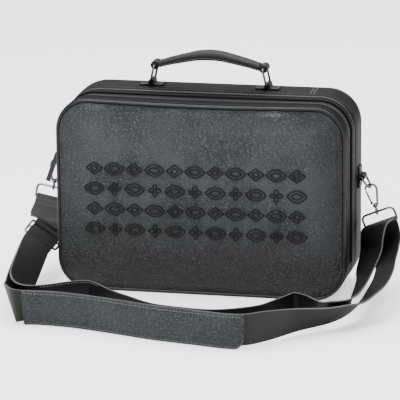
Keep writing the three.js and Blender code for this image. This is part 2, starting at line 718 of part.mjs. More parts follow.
// Turns of the strap round a bar: along in bar pitches and wraps, and lift in wraps
const wrap = ringWire + 2 * gap + strapThick / 2;
const turnSpots = (frame, rows) => rows.map(({ pitch = 0, wraps = 0, lift }) =>
  spotIn(frame, pitch * glideBarPitch + wraps * wrap, lift * wrap));
const leftRingTurn = [
  { wraps: 8.96, lift: -0.84 },
  { wraps: 3.58, lift: -0.84 },
  { wraps: 0.9, lift: -1 },
  { wraps: -0.7, lift: -0.7 },
  { wraps: -1, lift: 0 },
  { wraps: -0.7, lift: 0.7 },
  { wraps: 0.9, lift: 1 },
  { wraps: 3.58, lift: 0.09 },
  { wraps: 8.36, lift: 0.09 },
];
const glideEntry = [
  { pitch: -1.33, lift: 0.8 },
  { pitch: -1, lift: 1 },
  { pitch: -0.66, lift: -0.15 },
  { pitch: -0.45, lift: -1.56 },
  { pitch: -0.025, lift: -1.84 },
];
const glideExit = [
  { pitch: 0.025, lift: -1.84 },
  { pitch: 0.45, lift: -1.56 },
  { pitch: 0.66, lift: -0.15 },
  { pitch: 1, lift: 1 },
  { pitch: 1.42, lift: 0.5 },
  { pitch: 2.25, lift: 0.5 },
];
const rightRingTurn = [
  { wraps: 1.19, lift: 1 },
  { wraps: -0.7, lift: 0.7 },
  { wraps: -1, lift: 0 },
  { wraps: -1, lift: -1 },
];
const glideReturn = [
  { pitch: 2.25, lift: 1.75 },
  { pitch: 1.42, lift: 1.34 },
  { pitch: 1, lift: 1.84 },
  { pitch: 0.42, lift: 1.15 },
  { lift: 1 },
  { wraps: -0.7, lift: 0.7 },
  { wraps: -1, lift: 0 },
  { wraps: -0.7, lift: -0.7 },
  { wraps: 0.3, lift: -1 },
];
const leftFrame = strapFrame(leftRing.bar, leftRing.barWay, new THREE.Vector3(...leftRingToward));
const shortEnd = [...turnSpots(leftFrame, leftRingTurn), ...turnSpots(glideFrame, glideEntry)];
add("strap_short_end", bandSolid(bandStations(shortEnd, bandSteps), strapThick), strapLook);

function hangSpot({ out, back, rise, turn, stand }) {
  const spot = floorSpot({ across: 0, forward: 0, up: 0, turn, stand });
  spot.centre.copy(rightRing.bar).add(new THREE.Vector3(out, back, rise).multiplyScalar(strapWidth));
  return spot;
}

const rightFrame = strapFrame(rightRing.bar, rightRing.barWay, rightRing.ringDown);
const longBand = [
  ...turnSpots(glideFrame, glideExit),
  ...frontRows.map(floorSpot),
  ...farHanging.map(hangSpot),
  ...turnSpots(rightFrame, rightRingTurn),
  ...nearHanging.map(hangSpot),
  ...backRowsOfStrap.map(floorSpot),
  ...turnSpots(glideFrame, glideReturn),
];
const longStations = bandStations(longBand, bandSteps);

// The front and back runs meet one station past the turn round the right ring
const meeting = (glideExit.length + frontRows.length + farHanging.length + rightRingTurn.length - 1)
  * bandSteps + 1;
const longSections = bandSections(longStations, strapThick);
const [frontEnd, nextSection] = longSections.slice(meeting, meeting + 2);
const shortest = Math.min(...frontEnd.map((corner, i) => corner.distanceTo(nextSection[i])));
const backEnd = frontEnd.map((corner, i) => corner.clone().lerp(nextSection[i], gap / shortest));
add("strap_front_run", loft(longSections.slice(0, meeting + 1), false), strapLook);
add("strap_back_run", loft([backEnd, ...longSections.slice(meeting + 1)], false), strapLook);

// Shoulder pad on the outer side of the band's front run, with a rounded lower corner at its end
function padSolid() {
  const from = longStations.findIndex((station) => station.upper.x > -padFrom * halfWidth
    && station.upper.y < -padStand * loopReach);
  const to = longStations.findIndex((station) => station.upper.x > padTo * halfWidth);
  const span = longStations.slice(from, to);
  const lift = (strapThick + padThick) / 2 + 2 * gap;
  const end = span[span.length - 1].upper;
  const stations = span.map((station) => {
    const left = station.upper.distanceTo(end);
    const into = Math.max(0, padCorner - left);
    const corner = padCorner - Math.sqrt(padCorner ** 2 - into ** 2);
    const width = padWidth - corner;
    const upper = station.upper.clone().addScaledVector(station.outer, lift);
    return { upper, lower: upper.clone().addScaledVector(station.across, -width), outer: station.outer };
  });
  return bandSolid(stations, padThick);
}
add("shoulder_pad", padSolid(), leather);

// Zip slider on the left side, with a wire loop and a slim pull that swing together
const sliderX = -halfWidth + coilInset - coilRadius - gap;
const sliderBox = new THREE.BoxGeometry(sliderThick, sliderWidth, sliderLength);
sliderBox.translate(sliderX - sliderThick / 2, coilY, sliderHeight);
const bridgeX = sliderX - sliderThick - bridgeRise;
const bridgeRows = [
  { stand: 0, along: 0.35 },
  { stand: 0.82, along: 0.3 },
  { stand: 1, along: 0 },
  { stand: 0.82, along: -0.3 },
  { stand: 0, along: -0.35 },
];
const bridgeBase = sliderX - sliderThick / 2;
const bridgeCourse = bridgeRows.map(({ stand, along }) => new THREE.Vector3(
  THREE.MathUtils.lerp(bridgeBase, bridgeX, stand), coilY, sliderHeight + along * sliderLength));
add("zip_slider", join(sliderBox, wireAlong(bridgeCourse, bridgeRadius, bridgeSteps)), gunmetal);

const swing = radians(pullLean);
const pullWay = new THREE.Vector3(-Math.sin(swing), 0, -Math.cos(swing));
const loopTopX = bridgeX + bridgeRadius + gap + loopWire;
const loopTop = new THREE.Vector3(loopTopX, coilY, sliderHeight - bridgeRadius);
const loopSpots = ringOutline(loopWidth, loopLength, loopFoot, loopHead, cornerCuts);
add("zip_pull_loop", closedWire(loopTop, yAxis, pullWay, loopSpots, loopWire), gunmetal);
const pullShape = new THREE.Shape();
pullShape.absarc(0, 0, pullWidth / 2, 0, Math.PI, false);
pullShape.lineTo(-pullWidth / 2, -pullLength);
pullShape.lineTo(pullWidth / 2, -pullLength);
pullShape.closePath();
const pullHole = new THREE.Path();
pullHole.absarc(0, pullHoleLift, loopWire + 2 * gap, 0, 2 * Math.PI, true);
pullShape.holes.push(pullHole);
const pull = new THREE.ExtrudeGeometry(pullShape, {
  depth: pullThick, bevelEnabled: false, curveSegments: pullCurve,
});
pull.translate(0, 0, -pullThick / 2);
const pullUp = pullWay.clone().negate();
pull.applyMatrix4(new THREE.Matrix4().makeBasis(pullUp.clone().cross(yAxis), pullUp, yAxis));
pull.translate(...loopTop.clone().addScaledVector(pullWay, loopLength).toArray());
add("zip_pull_tab", pull, gunmetal);

const group = new THREE.Group();
for (const { name, geometry, look } of solids) {
  const mesh = new THREE.Mesh(geometry, new THREE.MeshStandardMaterial(look));
  mesh.name = name;
  group.add(mesh);
}

export default group;
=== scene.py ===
import math
import bpy
import numpy as np
from mathutils import Matrix, Vector


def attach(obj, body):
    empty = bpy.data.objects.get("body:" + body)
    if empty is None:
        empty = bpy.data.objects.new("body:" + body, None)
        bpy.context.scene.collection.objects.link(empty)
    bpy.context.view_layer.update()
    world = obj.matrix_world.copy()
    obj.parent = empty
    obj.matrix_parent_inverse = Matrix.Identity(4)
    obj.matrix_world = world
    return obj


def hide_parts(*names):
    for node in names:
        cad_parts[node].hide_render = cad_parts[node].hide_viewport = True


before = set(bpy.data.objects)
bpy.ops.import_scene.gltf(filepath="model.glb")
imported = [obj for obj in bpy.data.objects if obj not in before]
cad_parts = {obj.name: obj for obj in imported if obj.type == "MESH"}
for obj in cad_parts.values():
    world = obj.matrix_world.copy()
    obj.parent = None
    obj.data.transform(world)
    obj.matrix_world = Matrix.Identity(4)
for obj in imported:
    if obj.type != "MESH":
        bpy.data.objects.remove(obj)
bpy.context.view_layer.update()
mm = 0.001
gap = 0.3
xAxis, yAxis, zAxis = np.eye(3)


def linearColor(hexValue):
    # sRGB hex to linear red, green and blue
    parts = np.array([(hexValue >> shift) & 255 for shift in (16, 8, 0)]) / 255
    linear = np.where(parts <= 0.04045, parts / 12.92, ((parts + 0.055) / 1.055) ** 2.4)
    return (*[float(v) for v in linear], 1.0)


def addNode(tree, kind, sets=None, ins=None):
    # one node with its settings; an input is a value or the socket that feeds it
    node = tree.nodes.new(kind)
    for key, value in (sets or {}).items():
        setattr(node, key, value)
    for key, value in (ins or {}).items():
        if isinstance(value, bpy.types.NodeSocket):
            tree.links.new(value, node.inputs[key])
        else:
            node.inputs[key].default_value = value
    return node


def startMaterial(name, **values):
    # an empty material with its shader's values, and the place on the piece in metres
    material = bpy.data.materials.new(name)
    material.use_nodes = True
    tree = material.node_tree
    shader = tree.nodes["Principled BSDF"]
    for key, value in values.items():
        shader.inputs[key.replace("_", " ")].default_value = value
    return material, tree, shader, addNode(tree, "ShaderNodeTexCoord").outputs["Object"]


def noise(tree, vector, size, detail, output="Fac"):
    # cloudy noise whose lumps are so many millimetres wide
    return addNode(tree, "ShaderNodeTexNoise", ins={
        "Vector": vector, "Scale": 1 / (size * mm), "Detail": detail}).outputs[output]


def between(tree, value, fromMin, fromMax, toMin=0.0, toMax=1.0, smooth=False):
    # one range of values carried over to another, in a straight line or a smooth step
    kind = {"interpolation_type": "SMOOTHSTEP"} if smooth else None
    return addNode(tree, "ShaderNodeMapRange", kind, {
        "Value": value, "From Min": fromMin, "From Max": fromMax, "To Min": toMin, "To Max": toMax}).outputs[0]


def mixColors(tree, factor, first, second, blend="MIX"):
    # the first colour blended towards the second by a factor
    return addNode(tree, "ShaderNodeMix", {"data_type": "RGBA", "blend_type": blend}, {
        "Factor": factor, "A": first, "B": second}).outputs["Result"]


def compute(tree, operation, *values):
    # one arithmetic node
    return addNode(tree, "ShaderNodeMath", {"operation": operation}, dict(enumerate(values))).outputs[0]


def finishShader(tree, shader, color, height=None, depth=0.0):
    # the colour, and a relief so many millimetres deep, go into the shader
    tree.links.new(color, shader.inputs["Base Color"])
    if height is not None:
        bump = addNode(tree, "ShaderNodeBump", ins={"Height": height, "Distance": depth * mm, "Strength": 1.0})
        tree.links.new(bump.outputs[0], shader.inputs["Normal"])


def unit(v):
    # each vector divided by its length
    v = np.asarray(v, float)
    return v / np.linalg.norm(v, axis=-1, keepdims=True)


def gridFaces(rows, cols, closeRows, closeCols):
    # quads of a grid of rows by cols points, numbered row by row
    i = np.arange(rows if closeRows else rows - 1)[:, None]
    j = np.arange(cols if closeCols else cols - 1)[None, :]
    ni, nj = (i + 1) % rows, (j + 1) % cols
    return np.stack([i * cols + j, i * cols + nj, ni * cols + nj, ni * cols + j], -1).reshape(-1, 4)


def putMesh(name, points, faces, material, body="bag", replaces=(), slot=None, uv=None, values=None, sharp=40):
    # points in millimetres; faces is a list of index lists; the normals are turned outwards
    mesh = bpy.data.meshes.new(name)
    mesh.from_pydata((np.asarray(points) * mm).tolist(), [], [list(map(int, f)) for f in faces])
    mesh.update()
    if uv is not None:
        layer = mesh.uv_layers.new(name="uv")
        corner = np.zeros(len(mesh.loops), np.int32)
        mesh.loops.foreach_get("vertex_index", corner)
        layer.data.foreach_set("uv", (np.asarray(uv)[corner] * mm).astype(np.float32).ravel())
    for key, numbers in (values or {}).items():
        mesh.attributes.new(key, "FLOAT", "POINT").data.foreach_set("value", np.asarray(numbers, np.float32))
    mesh.materials.append(material)
    piece = bpy.data.objects.new(name, mesh)
    bpy.context.scene.collection.objects.link(piece)
    mesh.polygons.foreach_set("use_smooth", np.ones(len(mesh.polygons), bool))
    mesh.set_sharp_from_angle(angle=math.radians(sharp))
    turnOutwards(mesh)
    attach(piece, body)
    if replaces:
        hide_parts(*replaces)
    return piece


def turnOutwards(mesh):
    # a closed form whose signed volume is negative is turned inside out
    n = len(mesh.vertices)
    co = np.zeros(n * 3, np.float32)
    mesh.vertices.foreach_get("co", co)
    co = co.reshape(-1, 3).astype(float)
    mesh.calc_loop_triangles()
    tri = np.zeros(len(mesh.loop_triangles) * 3, np.int32)
    mesh.loop_triangles.foreach_get("vertices", tri)
    a, b, c = (co[tri.reshape(-1, 3)[:, k]] for k in range(3))
    if np.einsum("ij,ij->i", a, np.cross(b, c)).sum() < 0:
        mesh.flip_normals()


def fullTurn(steps):
    # equal angles once round
    return 2 * np.pi * np.arange(steps) / steps


def loftPoints(rings, closed):
    # rings is (n, m, 3); each ring joins the next, and open ends get a fan to their middle
    n, m, _ = rings.shape
    points = rings.reshape(-1, 3)
    faces = [list(f) for f in gridFaces(n, m, closed, True)]
    if not closed:
        for start, flip in ((0, True), ((n - 1) * m, False)):
            middle = points[start:start + m].mean(0)
            points = np.vstack([points, middle])
            for j in range(m):
                pair = [start + j, start + (j + 1) % m]
                faces.append([*(pair[::-1] if flip else pair), len(points) - 1])
    return points, faces


def smoothTable(at, xs, ys):
    # smooth curve through a table that never overshoots: slopes are harmonic means of the steps
    xs, ys = np.asarray(xs, float), np.asarray(ys, float)
    h, d = np.diff(xs), np.diff(ys) / np.diff(xs)
    slope = np.zeros(len(xs))
    same = d[1:] * d[:-1] > 0
    slope[1:-1][same] = 2 * d[1:][same] * d[:-1][same] / (d[1:] + d[:-1])[same]
    k = np.clip(np.searchsorted(xs, at) - 1, 0, len(h) - 1)
    t = (at - xs[k]) / h[k]
    return ((1 + 2 * t) * (1 - t) ** 2 * ys[k] + t * (1 - t) ** 2 * h[k] * slope[k]
            + t * t * (3 - 2 * t) * ys[k + 1] + t * t * (t - 1) * h[k] * slope[k + 1])


def course(spots, steps):
    # centripetal curve through the spots, with so many steps between two of them
    p = np.asarray(spots, float)
    ext = np.vstack([2 * p[0] - p[1], p, 2 * p[-1] - p[-2]])
    p0, p1, p2, p3 = ext[:-3], ext[1:-2], ext[2:-1], ext[3:]
    d0, d1, d2 = (np.maximum(np.linalg.norm(b - a, axis=1), 1e-6)[:, None] ** 0.5
                  for a, b in ((p0, p1), (p1, p2), (p2, p3)))
    t1 = ((p1 - p0) / d0 - (p2 - p0) / (d0 + d1) + (p2 - p1) / d1) * d1
    t2 = ((p2 - p1) / d1 - (p3 - p1) / (d1 + d2) + (p3 - p2) / d2) * d1
    t = (np.arange(steps) / steps)[None, :, None]
    c = [q[:, None, :] for q in (p1, t1, -3 * p1 + 3 * p2 - 2 * t1 - t2, 2 * p1 - 2 * p2 + t1 + t2)]
    body = c[0] + c[1] * t + c[2] * t ** 2 + c[3] * t ** 3
    return np.vstack([body.reshape(-1, 3), p[-1]])


def tube(points, radius, sides, closed, facing=None):
    # round section carried along a path; its frame turns as little as it can, or keeps one direction
    p = np.asarray(points, float)
    way = np.roll(p, -1, 0) - np.roll(p, 1, 0)
    if not closed:
        way[0], way[-1] = p[1] - p[0], p[-1] - p[-2]
    way = unit(way)
    if facing is None:
        first = np.zeros_like(p)
        start = np.cross(way[0], zAxis if abs(way[0][2]) < 0.9 else xAxis)
        first[0] = unit(start)
        for i in range(1, len(p)):
            first[i] = unit(first[i - 1] - way[i] * first[i - 1].dot(way[i]))
    else:
        first = np.tile(unit(facing), (len(p), 1))
    second = unit(np.cross(way, first))
    turn = fullTurn(sides)
    r = np.broadcast_to(np.asarray(radius, float), (len(p),))[:, None, None]
    rings = (p[:, None] + r * np.cos(turn)[None, :, None] * first[:, None]
             + r * np.sin(turn)[None, :, None] * second[:, None])
    return loftPoints(rings, closed)


def runAlong(p):
    # length from the first point to each of them: the steps' sizes summed up
    return np.concatenate([[0], np.cumsum(np.linalg.norm(np.diff(p, axis=0), axis=1))])


def joinParts(*parts):
    # several meshes as one: points one after the other, face numbers moved on by the points before
    points, faces, base = [], [], 0
    for p, f in parts:
        points.append(p)
        faces += [[i + base for i in face] for face in f]
        base += len(p)
    return np.vstack(points), faces


def turned(start, end, rows, sides):
    # lathe: rows are (share along, radius) from one point to another
    start, end = np.asarray(start, float), np.asarray(end, float)
    points = np.array([start + (end - start) * s for s, _ in rows])
    axis = unit(end - start)
    side = unit(np.cross(axis, yAxis if abs(axis[1]) < 0.9 else xAxis))
    other = np.cross(axis, side)
    turn = fullTurn(sides)
    radii = np.array([r for _, r in rows])[:, None, None]
    rings = points[:, None] + radii * (np.cos(turn)[None, :, None] * side + np.sin(turn)[None, :, None] * other)
    return loftPoints(rings, False)


def alongPath(points, normals, pitch, closed=False, margin=0.0):
    # places at equal steps along a path, with their directions and normals
    p, n = np.asarray(points, float), np.asarray(normals, float)
    if closed:
        p, n = np.vstack([p, p[:1]]), np.vstack([n, n[:1]])
    s = runAlong(p)
    count = max(2, int((s[-1] - 2 * margin) / pitch))
    at = margin + (np.arange(count) + 0.5) * (s[-1] - 2 * margin) / count
    pick = lambda a, q: np.stack([np.interp(q, s, a[:, k]) for k in range(3)], 1)
    way = unit(pick(p, at + 0.4) - pick(p, at - 0.4))
    return pick(p, at), way, unit(pick(n, at))


def stitchParts(points, normals, pitch=4.2, length=3.0, radius=0.42, closed=False, margin=0.0):
    # thread stitches: each a short rod with drawn-in ends, half sunk in the leather
    place, way, up = alongPath(points, normals, pitch, closed, margin)
    side = unit(np.cross(way, up))
    xs, rs = np.array([-1, -0.72, 0.72, 1]), np.array([0.25, 1, 1, 0.25])
    turn = fullTurn(6)
    shape = np.stack(np.broadcast_arrays(xs[:, None] * length / 2, rs[:, None] * np.cos(turn) * radius,
                                         rs[:, None] * np.sin(turn) * radius), -1).reshape(-1, 3)
    basis = np.stack([way, side, up], 1)
    points = place[:, None] + np.einsum("vk,nkc->nvc", shape, basis)
    one = [list(f) for f in gridFaces(4, 6, False, True)] + [[5, 4, 3, 2, 1, 0], [18, 19, 20, 21, 22, 23]]
    faces = [[v + i * 24 for v in face] for i in range(len(place)) for face in one]
    return points.reshape(-1, 3), faces


# materials
def grainedLeather(name, base, light, dark, grain=3.0, lean=35, depth=0.5, rough=0.5, fade=0.0, gloss=0.5):
    # full-grain cowhide, drum dyed and milled soft: long shallow creases over a fine pebble, dull sheen
    material, tree, shader, place = startMaterial(name, Roughness=rough, IOR=1.5, Sheen_Weight=0.04,
                                                  Sheen_Roughness=0.5, Specular_IOR_Level=gloss)
    # pebbles lie slantwise, nearly three times as long as wide, and their borders wander a little
    slant = addNode(tree, "ShaderNodeMapping", {"vector_type": "TEXTURE"}, {
        "Vector": place, "Rotation": (0, math.radians(lean), 0), "Scale": (2.7, 1, 1)}).outputs[0]
    bent = addNode(tree, "ShaderNodeVectorMath", {"operation": "MULTIPLY_ADD"}, {
        0: noise(tree, place, 4, 2.0, "Color"), 1: (1.9 * mm,) * 3, 2: slant}).outputs[0]
    border = addNode(tree, "ShaderNodeTexVoronoi", {"feature": "DISTANCE_TO_EDGE"}, {
        "Vector": bent, "Scale": 1 / (grain * mm)}).outputs["Distance"]
    pebble = between(tree, border, 0.0, 0.34, smooth=True)
    height = compute(tree, "MULTIPLY_ADD", noise(tree, bent, 0.45 * grain, 3.0), 0.55, pebble)
    strength = between(tree, noise(tree, place, 58, 2.0), 0.36, 0.64, 0.25, 1.0)
    # colour follows the relief: the grain's own tone paler on the pebble tops, and painted shade darkening the
    # creases
    toneAndCreaseShade = addNode(tree, "ShaderNodeValToRGB", ins={"Fac": between(tree, height, 0.2, 1.3)})
    toneAndCreaseShade.color_ramp.elements[0].color = linearColor(dark)
    toneAndCreaseShade.color_ramp.elements[1].color = linearColor(light)
    toneAndCreaseShade.color_ramp.elements.new(0.5).color = linearColor(base)
    # the tone, grain colour with painted shade in the creases, varies only as far as the creases show
    color = mixColors(tree, strength, linearColor(base), toneAndCreaseShade.outputs["Color"])
    if fade:
        # painted shade: the colour darkens to near black towards the base, near both side rims and under the top
        # rim
        spot = addNode(tree, "ShaderNodeSeparateXYZ", ins={"Vector": place})
        level, away = spot.outputs["Z"], compute(tree, "ABSOLUTE", spot.outputs["X"])
        low = between(tree, level, 0.01, 0.135, fade, 0.0, True)
        wide = between(tree, away, 0.125, 0.18, 0.0, 0.7 * fade, True)
        high = between(tree, level, 0.21, 0.243, 0.0, 0.6 * fade, True)
        paintedShade = compute(tree, "MAXIMUM", low, compute(tree, "MAXIMUM", wide, high))
        color = mixColors(tree, paintedShade, color, linearColor(0x070808))
    finishShader(tree, shader, color, compute(tree, "MULTIPLY", height, strength), depth)
    return material


def smoothLeather(name, base, light, rough=0.48, depth=0.12, grain=1.9, gloss=0.3):
    # split cowhide with a rolled, nearly plain face: faint pebble and a soft, wide highlight
    material, tree, shader, place = startMaterial(name, Roughness=rough, IOR=1.36, Specular_IOR_Level=gloss)
    color = mixColors(tree, noise(tree, place, 26, 4.0), linearColor(base), linearColor(light))
    finishShader(tree, shader, color, noise(tree, place, grain, 3.0), depth)
    return material


def cutEdgeLeather(name, base, inner, edge):
    # two plies of smooth leather glued back to back: pale, raw, double-lined cut edges, a darker flesh side
    material, tree, shader, place = startMaterial(name, Roughness=0.5, IOR=1.5, Specular_IOR_Level=0.3)
    rim, ply = (addNode(tree, "ShaderNodeAttribute", {"attribute_name": key}).outputs["Fac"]
                for key in ("rim", "ply"))
    face = mixColors(tree, compute(tree, "GREATER_THAN", ply, 0.0), linearColor(inner), linearColor(base))
    varied = mixColors(tree, 0.35, face, noise(tree, place, 18, 4.0), "MULTIPLY")
    pale = between(tree, compute(tree, "ABSOLUTE", ply), 0.04, 0.16, 0.25, 1.0)
    color = mixColors(tree, compute(tree, "MULTIPLY", pale, rim), varied, linearColor(edge))
    finishShader(tree, shader, color, noise(tree, place, 1.6, 3.0), 0.14)
    return material


def platedMetal(name, base=0x4e5054, worn=0x8b8d90):
    # zinc casting with polished gunmetal plating: dark mirror, a little worn, with pale highlights
    material, tree, shader, place = startMaterial(name, Metallic=1.0, Roughness=0.24)
    wear = noise(tree, place, 5, 5.0)
    finishShader(tree, shader, mixColors(tree, wear, linearColor(base), linearColor(worn)))
    tree.links.new(between(tree, wear, 0.0, 1.0, 0.16, 0.36), shader.inputs["Roughness"])
    return material


def wovenTape(name):
    # polyester tape, woven in a fine herringbone; the weave is drawn at 1 mm so that it shows
    material, tree, shader, place = startMaterial(name, Roughness=0.9, Sheen_Weight=0.03, Specular_IOR_Level=0.15)
    weave = addNode(tree, "ShaderNodeTexWave", {"bands_direction": "DIAGONAL"}, {
        "Vector": place, "Scale": 1 / (6.3 * mm), "Distortion": 0.6}).outputs["Fac"]
    finishShader(tree, shader, mixColors(tree, weave, linearColor(0x080808), linearColor(0x151515)), weave, 0.2)
    return material


def twistedThread(name, hexValue, rough=0.45, sheen=0.2):
    # bonded nylon thread, twisted from three yarns: slanting ridges and a silky highlight
    material, tree, shader, place = startMaterial(name, Roughness=rough, Sheen_Weight=sheen,
                                                  Specular_IOR_Level=0.3)
    shade = addNode(tree, "ShaderNodeRGB")
    shade.outputs[0].default_value = linearColor(hexValue)
    twist = addNode(tree, "ShaderNodeTexWave", {"bands_direction": "DIAGONAL"}, {
        "Vector": place, "Scale": 1 / (3.4 * mm)}).outputs["Fac"]
    finishShader(tree, shader, shade.outputs[0], twist, 0.12)
    return material


# fade=1.0 paints shade into the front's colour towards its base, its sides and its top rim
frontLeather = grainedLeather("milledLeatherFront", 0x33363a, 0x454a4e, 0x151618, grain=2.4, depth=1.5,
                              rough=0.33, fade=1.0, gloss=0.34)
backLeather = grainedLeather("milledLeatherBack", 0x2a2c2f, 0x3a3d40, 0x131415, grain=2.5, depth=1.2, rough=0.38,
                             gloss=0.34)
padLeather = grainedLeather("milledLeatherPad", 0x202427, 0x30363a, 0x0e1011, grain=2.5, lean=20, depth=1.4,
                            rough=0.38, gloss=0.33)
gripLeather = grainedLeather("milledLeatherGrip", 0x0c0c0d, 0x151617, 0x050506, grain=2.6, depth=0.5, rough=0.5,
                            gloss=0.22)
gussetLeather = smoothLeather("rolledLeatherGusset", 0x0b0b0a, 0x181814, rough=0.55, gloss=0.15)
stripLeather = smoothLeather("rolledLeatherStrip", 0x070707, 0x0c0c0d, rough=0.6, gloss=0.09)
edgingLeather = smoothLeather("rolledLeatherEdging", 0x15171a, 0x25282b, rough=0.34, gloss=0.36)
strapLeather = cutEdgeLeather("gluedStrapLeather", 0x10100e, 0x0b0b0a, 0x5c5c59)
metal = platedMetal("polishedGunmetalPlating")
pullMetal = platedMetal("blackenedZincPull", 0x1c1d1f, 0x3d3f42)
tapeCloth = wovenTape("wovenZipTape")
toothNylon = twistedThread("mouldedZipTeeth", 0x1c1c1d, rough=0.35)
blackThread = twistedThread("embroideryThreadBlack", 0x030303, rough=0.6, sheen=0.0)
greyThread = twistedThread("seamThreadGrey", 0x5f6163)
darkThread = twistedThread("seamThreadDark", 0x161616)
print("materials made")

# bag body
bag = dict(width=370, height=248, depth=120, cornerRadius=42, skinWall=2.5, frontStrip=20, zipWidth=20,
           rearStrip=17, piping=2.4, ridge=2.2, frontSag=3, belly=1.5, dent=3.5, dentTurn=52, dentSpread=20,
           frontPuff=6, backPuff=2.5, frontWave=0.35, backWave=0.3, jointX=129,
           zipRecess=2.2, tapeWall=1.5, coilRadius=2)
halfWidth = bag["width"] / 2
frontY = -bag["depth"] / 2
pipingY = frontY + bag["piping"]
stripY = frontY + 2 * bag["piping"] + gap
zipY = stripY + bag["frontStrip"]
rearStripY = zipY + bag["zipWidth"]
ridgeY = rearStripY + bag["rearStrip"] + gap + bag["ridge"]
gussetY = ridgeY + bag["ridge"] + gap
gussetEndY = -frontY - 2 * bag["piping"] - gap
coilY = zipY + bag["zipWidth"] / 2
cornerSteps, sideSteps = 20, 44


def outlineStations():
    # rounded rectangle from the lower right corner round over the top; columns x, z, normal x, normal z, turn
    r, reach, rise = bag["cornerRadius"], halfWidth - bag["cornerRadius"], bag["height"] / 2 - bag["cornerRadius"]
    mid, rows = bag["height"] / 2, []
    corners = [(1, -1, -90), (1, 1, 0), (-1, 1, 90), (-1, -1, 180)]
    for index, (sx, sz, start) in enumerate(corners):
        turn = start + 90 * np.arange(cornerSteps + 1) / cornerSteps
        c, s = np.cos(np.radians(turn)), np.sin(np.radians(turn))
        arc = np.stack([sx * reach + r * c, mid + sz * rise + r * s, c, s, turn], 1)
        nx, nz, nextStart = corners[(index + 1) % 4]
        goal = np.array([nx * reach + r * math.cos(math.radians(nextStart)),
                         mid + nz * rise + r * math.sin(math.radians(nextStart))])
        k = (np.arange(1, sideSteps) / sideSteps)[:, None]
        side = np.tile(arc[-1], (sideSteps - 1, 1))
        side[:, :2] = arc[-1, :2] + (goal - arc[-1, :2]) * k
        rows += [arc, side]
    return np.vstack(rows)


outline = outlineStations()


def skin(st, y, inset):
    # point of the skin: outline plus belly less dent less inset along the normal, and the front's sag
    st, y = np.asarray(st, float), np.asarray(y, float)
    frontShare = np.clip((gussetY - y) / (gussetY - frontY), 0, 1)
    across = st[..., 0] / halfWidth
    sag = bag["frontSag"] * frontShare * np.maximum(0, st[..., 3]) * (1 - across ** 2) ** 2
    share = np.clip((y - gussetY) / (gussetEndY - gussetY), 0, 1)
    plateau = np.minimum(1, 6 * share * (1 - share))
    upper = np.where(st[..., 3] < 0, 1 + st[..., 3], 1)
    dent = bag["dent"] * np.exp(-((st[..., 4] - bag["dentTurn"]) / bag["dentSpread"]) ** 2) * np.sin(np.pi * share)
    out = bag["belly"] * plateau * upper - dent - inset
    return np.stack([st[..., 0] + st[..., 2] * out, y + 0 * out, st[..., 1] + st[..., 3] * out - sag], -1)


def normalsOf(st):
    # outward directions of the outline's stations, level in depth
    return np.stack([st[:, 2], 0 * st[:, 2], st[:, 3]], 1)


def wallBand(stations, fromY, toY, outer, inner, roll, closed, rows=14):
    # band of wall: outer face with edges rolled down over a few millimetres, and a plain inner face
    share = (1 - np.cos(np.pi * np.arange(rows + 1) / rows)) / 2
    y = fromY + (toY - fromY) * share
    edge = np.minimum(y - fromY, toY - y)
    drop = roll * np.maximum(0, 1 - edge / 1.8) ** 2
    rings = np.concatenate([
        skin(stations[:, None, :], y[None, :], outer + drop[None, :]),
        skin(stations[:, None, :], y[None, ::-1], inner + 0 * drop[None, :])], 1)
    return loftPoints(rings, closed)


def ringStitches(y, inset, stations, closed, thread, name, pitch=4.2):
    # under the base the thread lies in a groove, so that nothing stands below the leather
    sunk = inset + 0.55 * np.maximum(0, -stations[:, 3])
    points = skin(stations, np.full(len(stations), y), sunk)
    parts = stitchParts(points, normalsOf(stations), pitch, closed=closed, margin=0 if closed else 4)
    return putMesh(name, *parts, thread)


def pipingTube(stations, y, radius, inset, closed, sides=14):
    # round section in the plane of the outward direction and the depth, carried round the outline
    centre = skin(stations, np.full(len(stations), y), inset)
    out = normalsOf(stations)
    turn = fullTurn(sides)
    rings = (centre[:, None] + radius * np.cos(turn)[None, :, None] * out[:, None]
             + radius * np.sin(turn)[None, :, None] * yAxis)
    return loftPoints(rings, closed)


panelSizes = [0, 0.25, 0.6, 0.8, 0.9, 0.95, 0.985, 1]
frontPuffs = [1, 1, 0.97, 0.87, 0.69, 0.44, 0.06, 0]
backPuffs = [1, 1, 1, 0.87, 0.69, 0.44, 0.06, 0]


def softWaves(x, z, size, wave):
    # products of slow sines, a few tenths of a millimetre high, that fade out near the rim
    fade = np.clip((1 - size) / 0.12, 0, 1)
    return wave * fade * (np.sin(x / 31 + z / 47) * np.sin(z / 36 - 0.6) + 0.5 * np.sin(x / 17 - z / 23))


def puffedPanel(faceY, swell, puffs, wave):
    # rings shrink from the rim to the middle; the swell follows the table, with slow soft waves on top
    inset = 2 * bag["piping"] + gap
    size = np.concatenate([1 - 0.1 * np.arange(14) / 14, np.linspace(0.9, 0.02, 34)])
    rim = skin(outline, np.full(len(outline), faceY), inset)
    mid = bag["height"] / 2
    x = rim[None, :, 0] * size[:, None]
    z = mid + (rim[None, :, 2] - mid) * size[:, None]
    y = faceY + swell * smoothTable(size, panelSizes, puffs)[:, None] + softWaves(x, z, size[:, None], wave)
    face = np.stack([x, y, z], -1)
    rear = face.copy()
    rear[..., 1] -= np.sign(swell) * (bag["skinWall"] - gap)
    return loftPoints(np.concatenate([rear[::-1], face]), False)


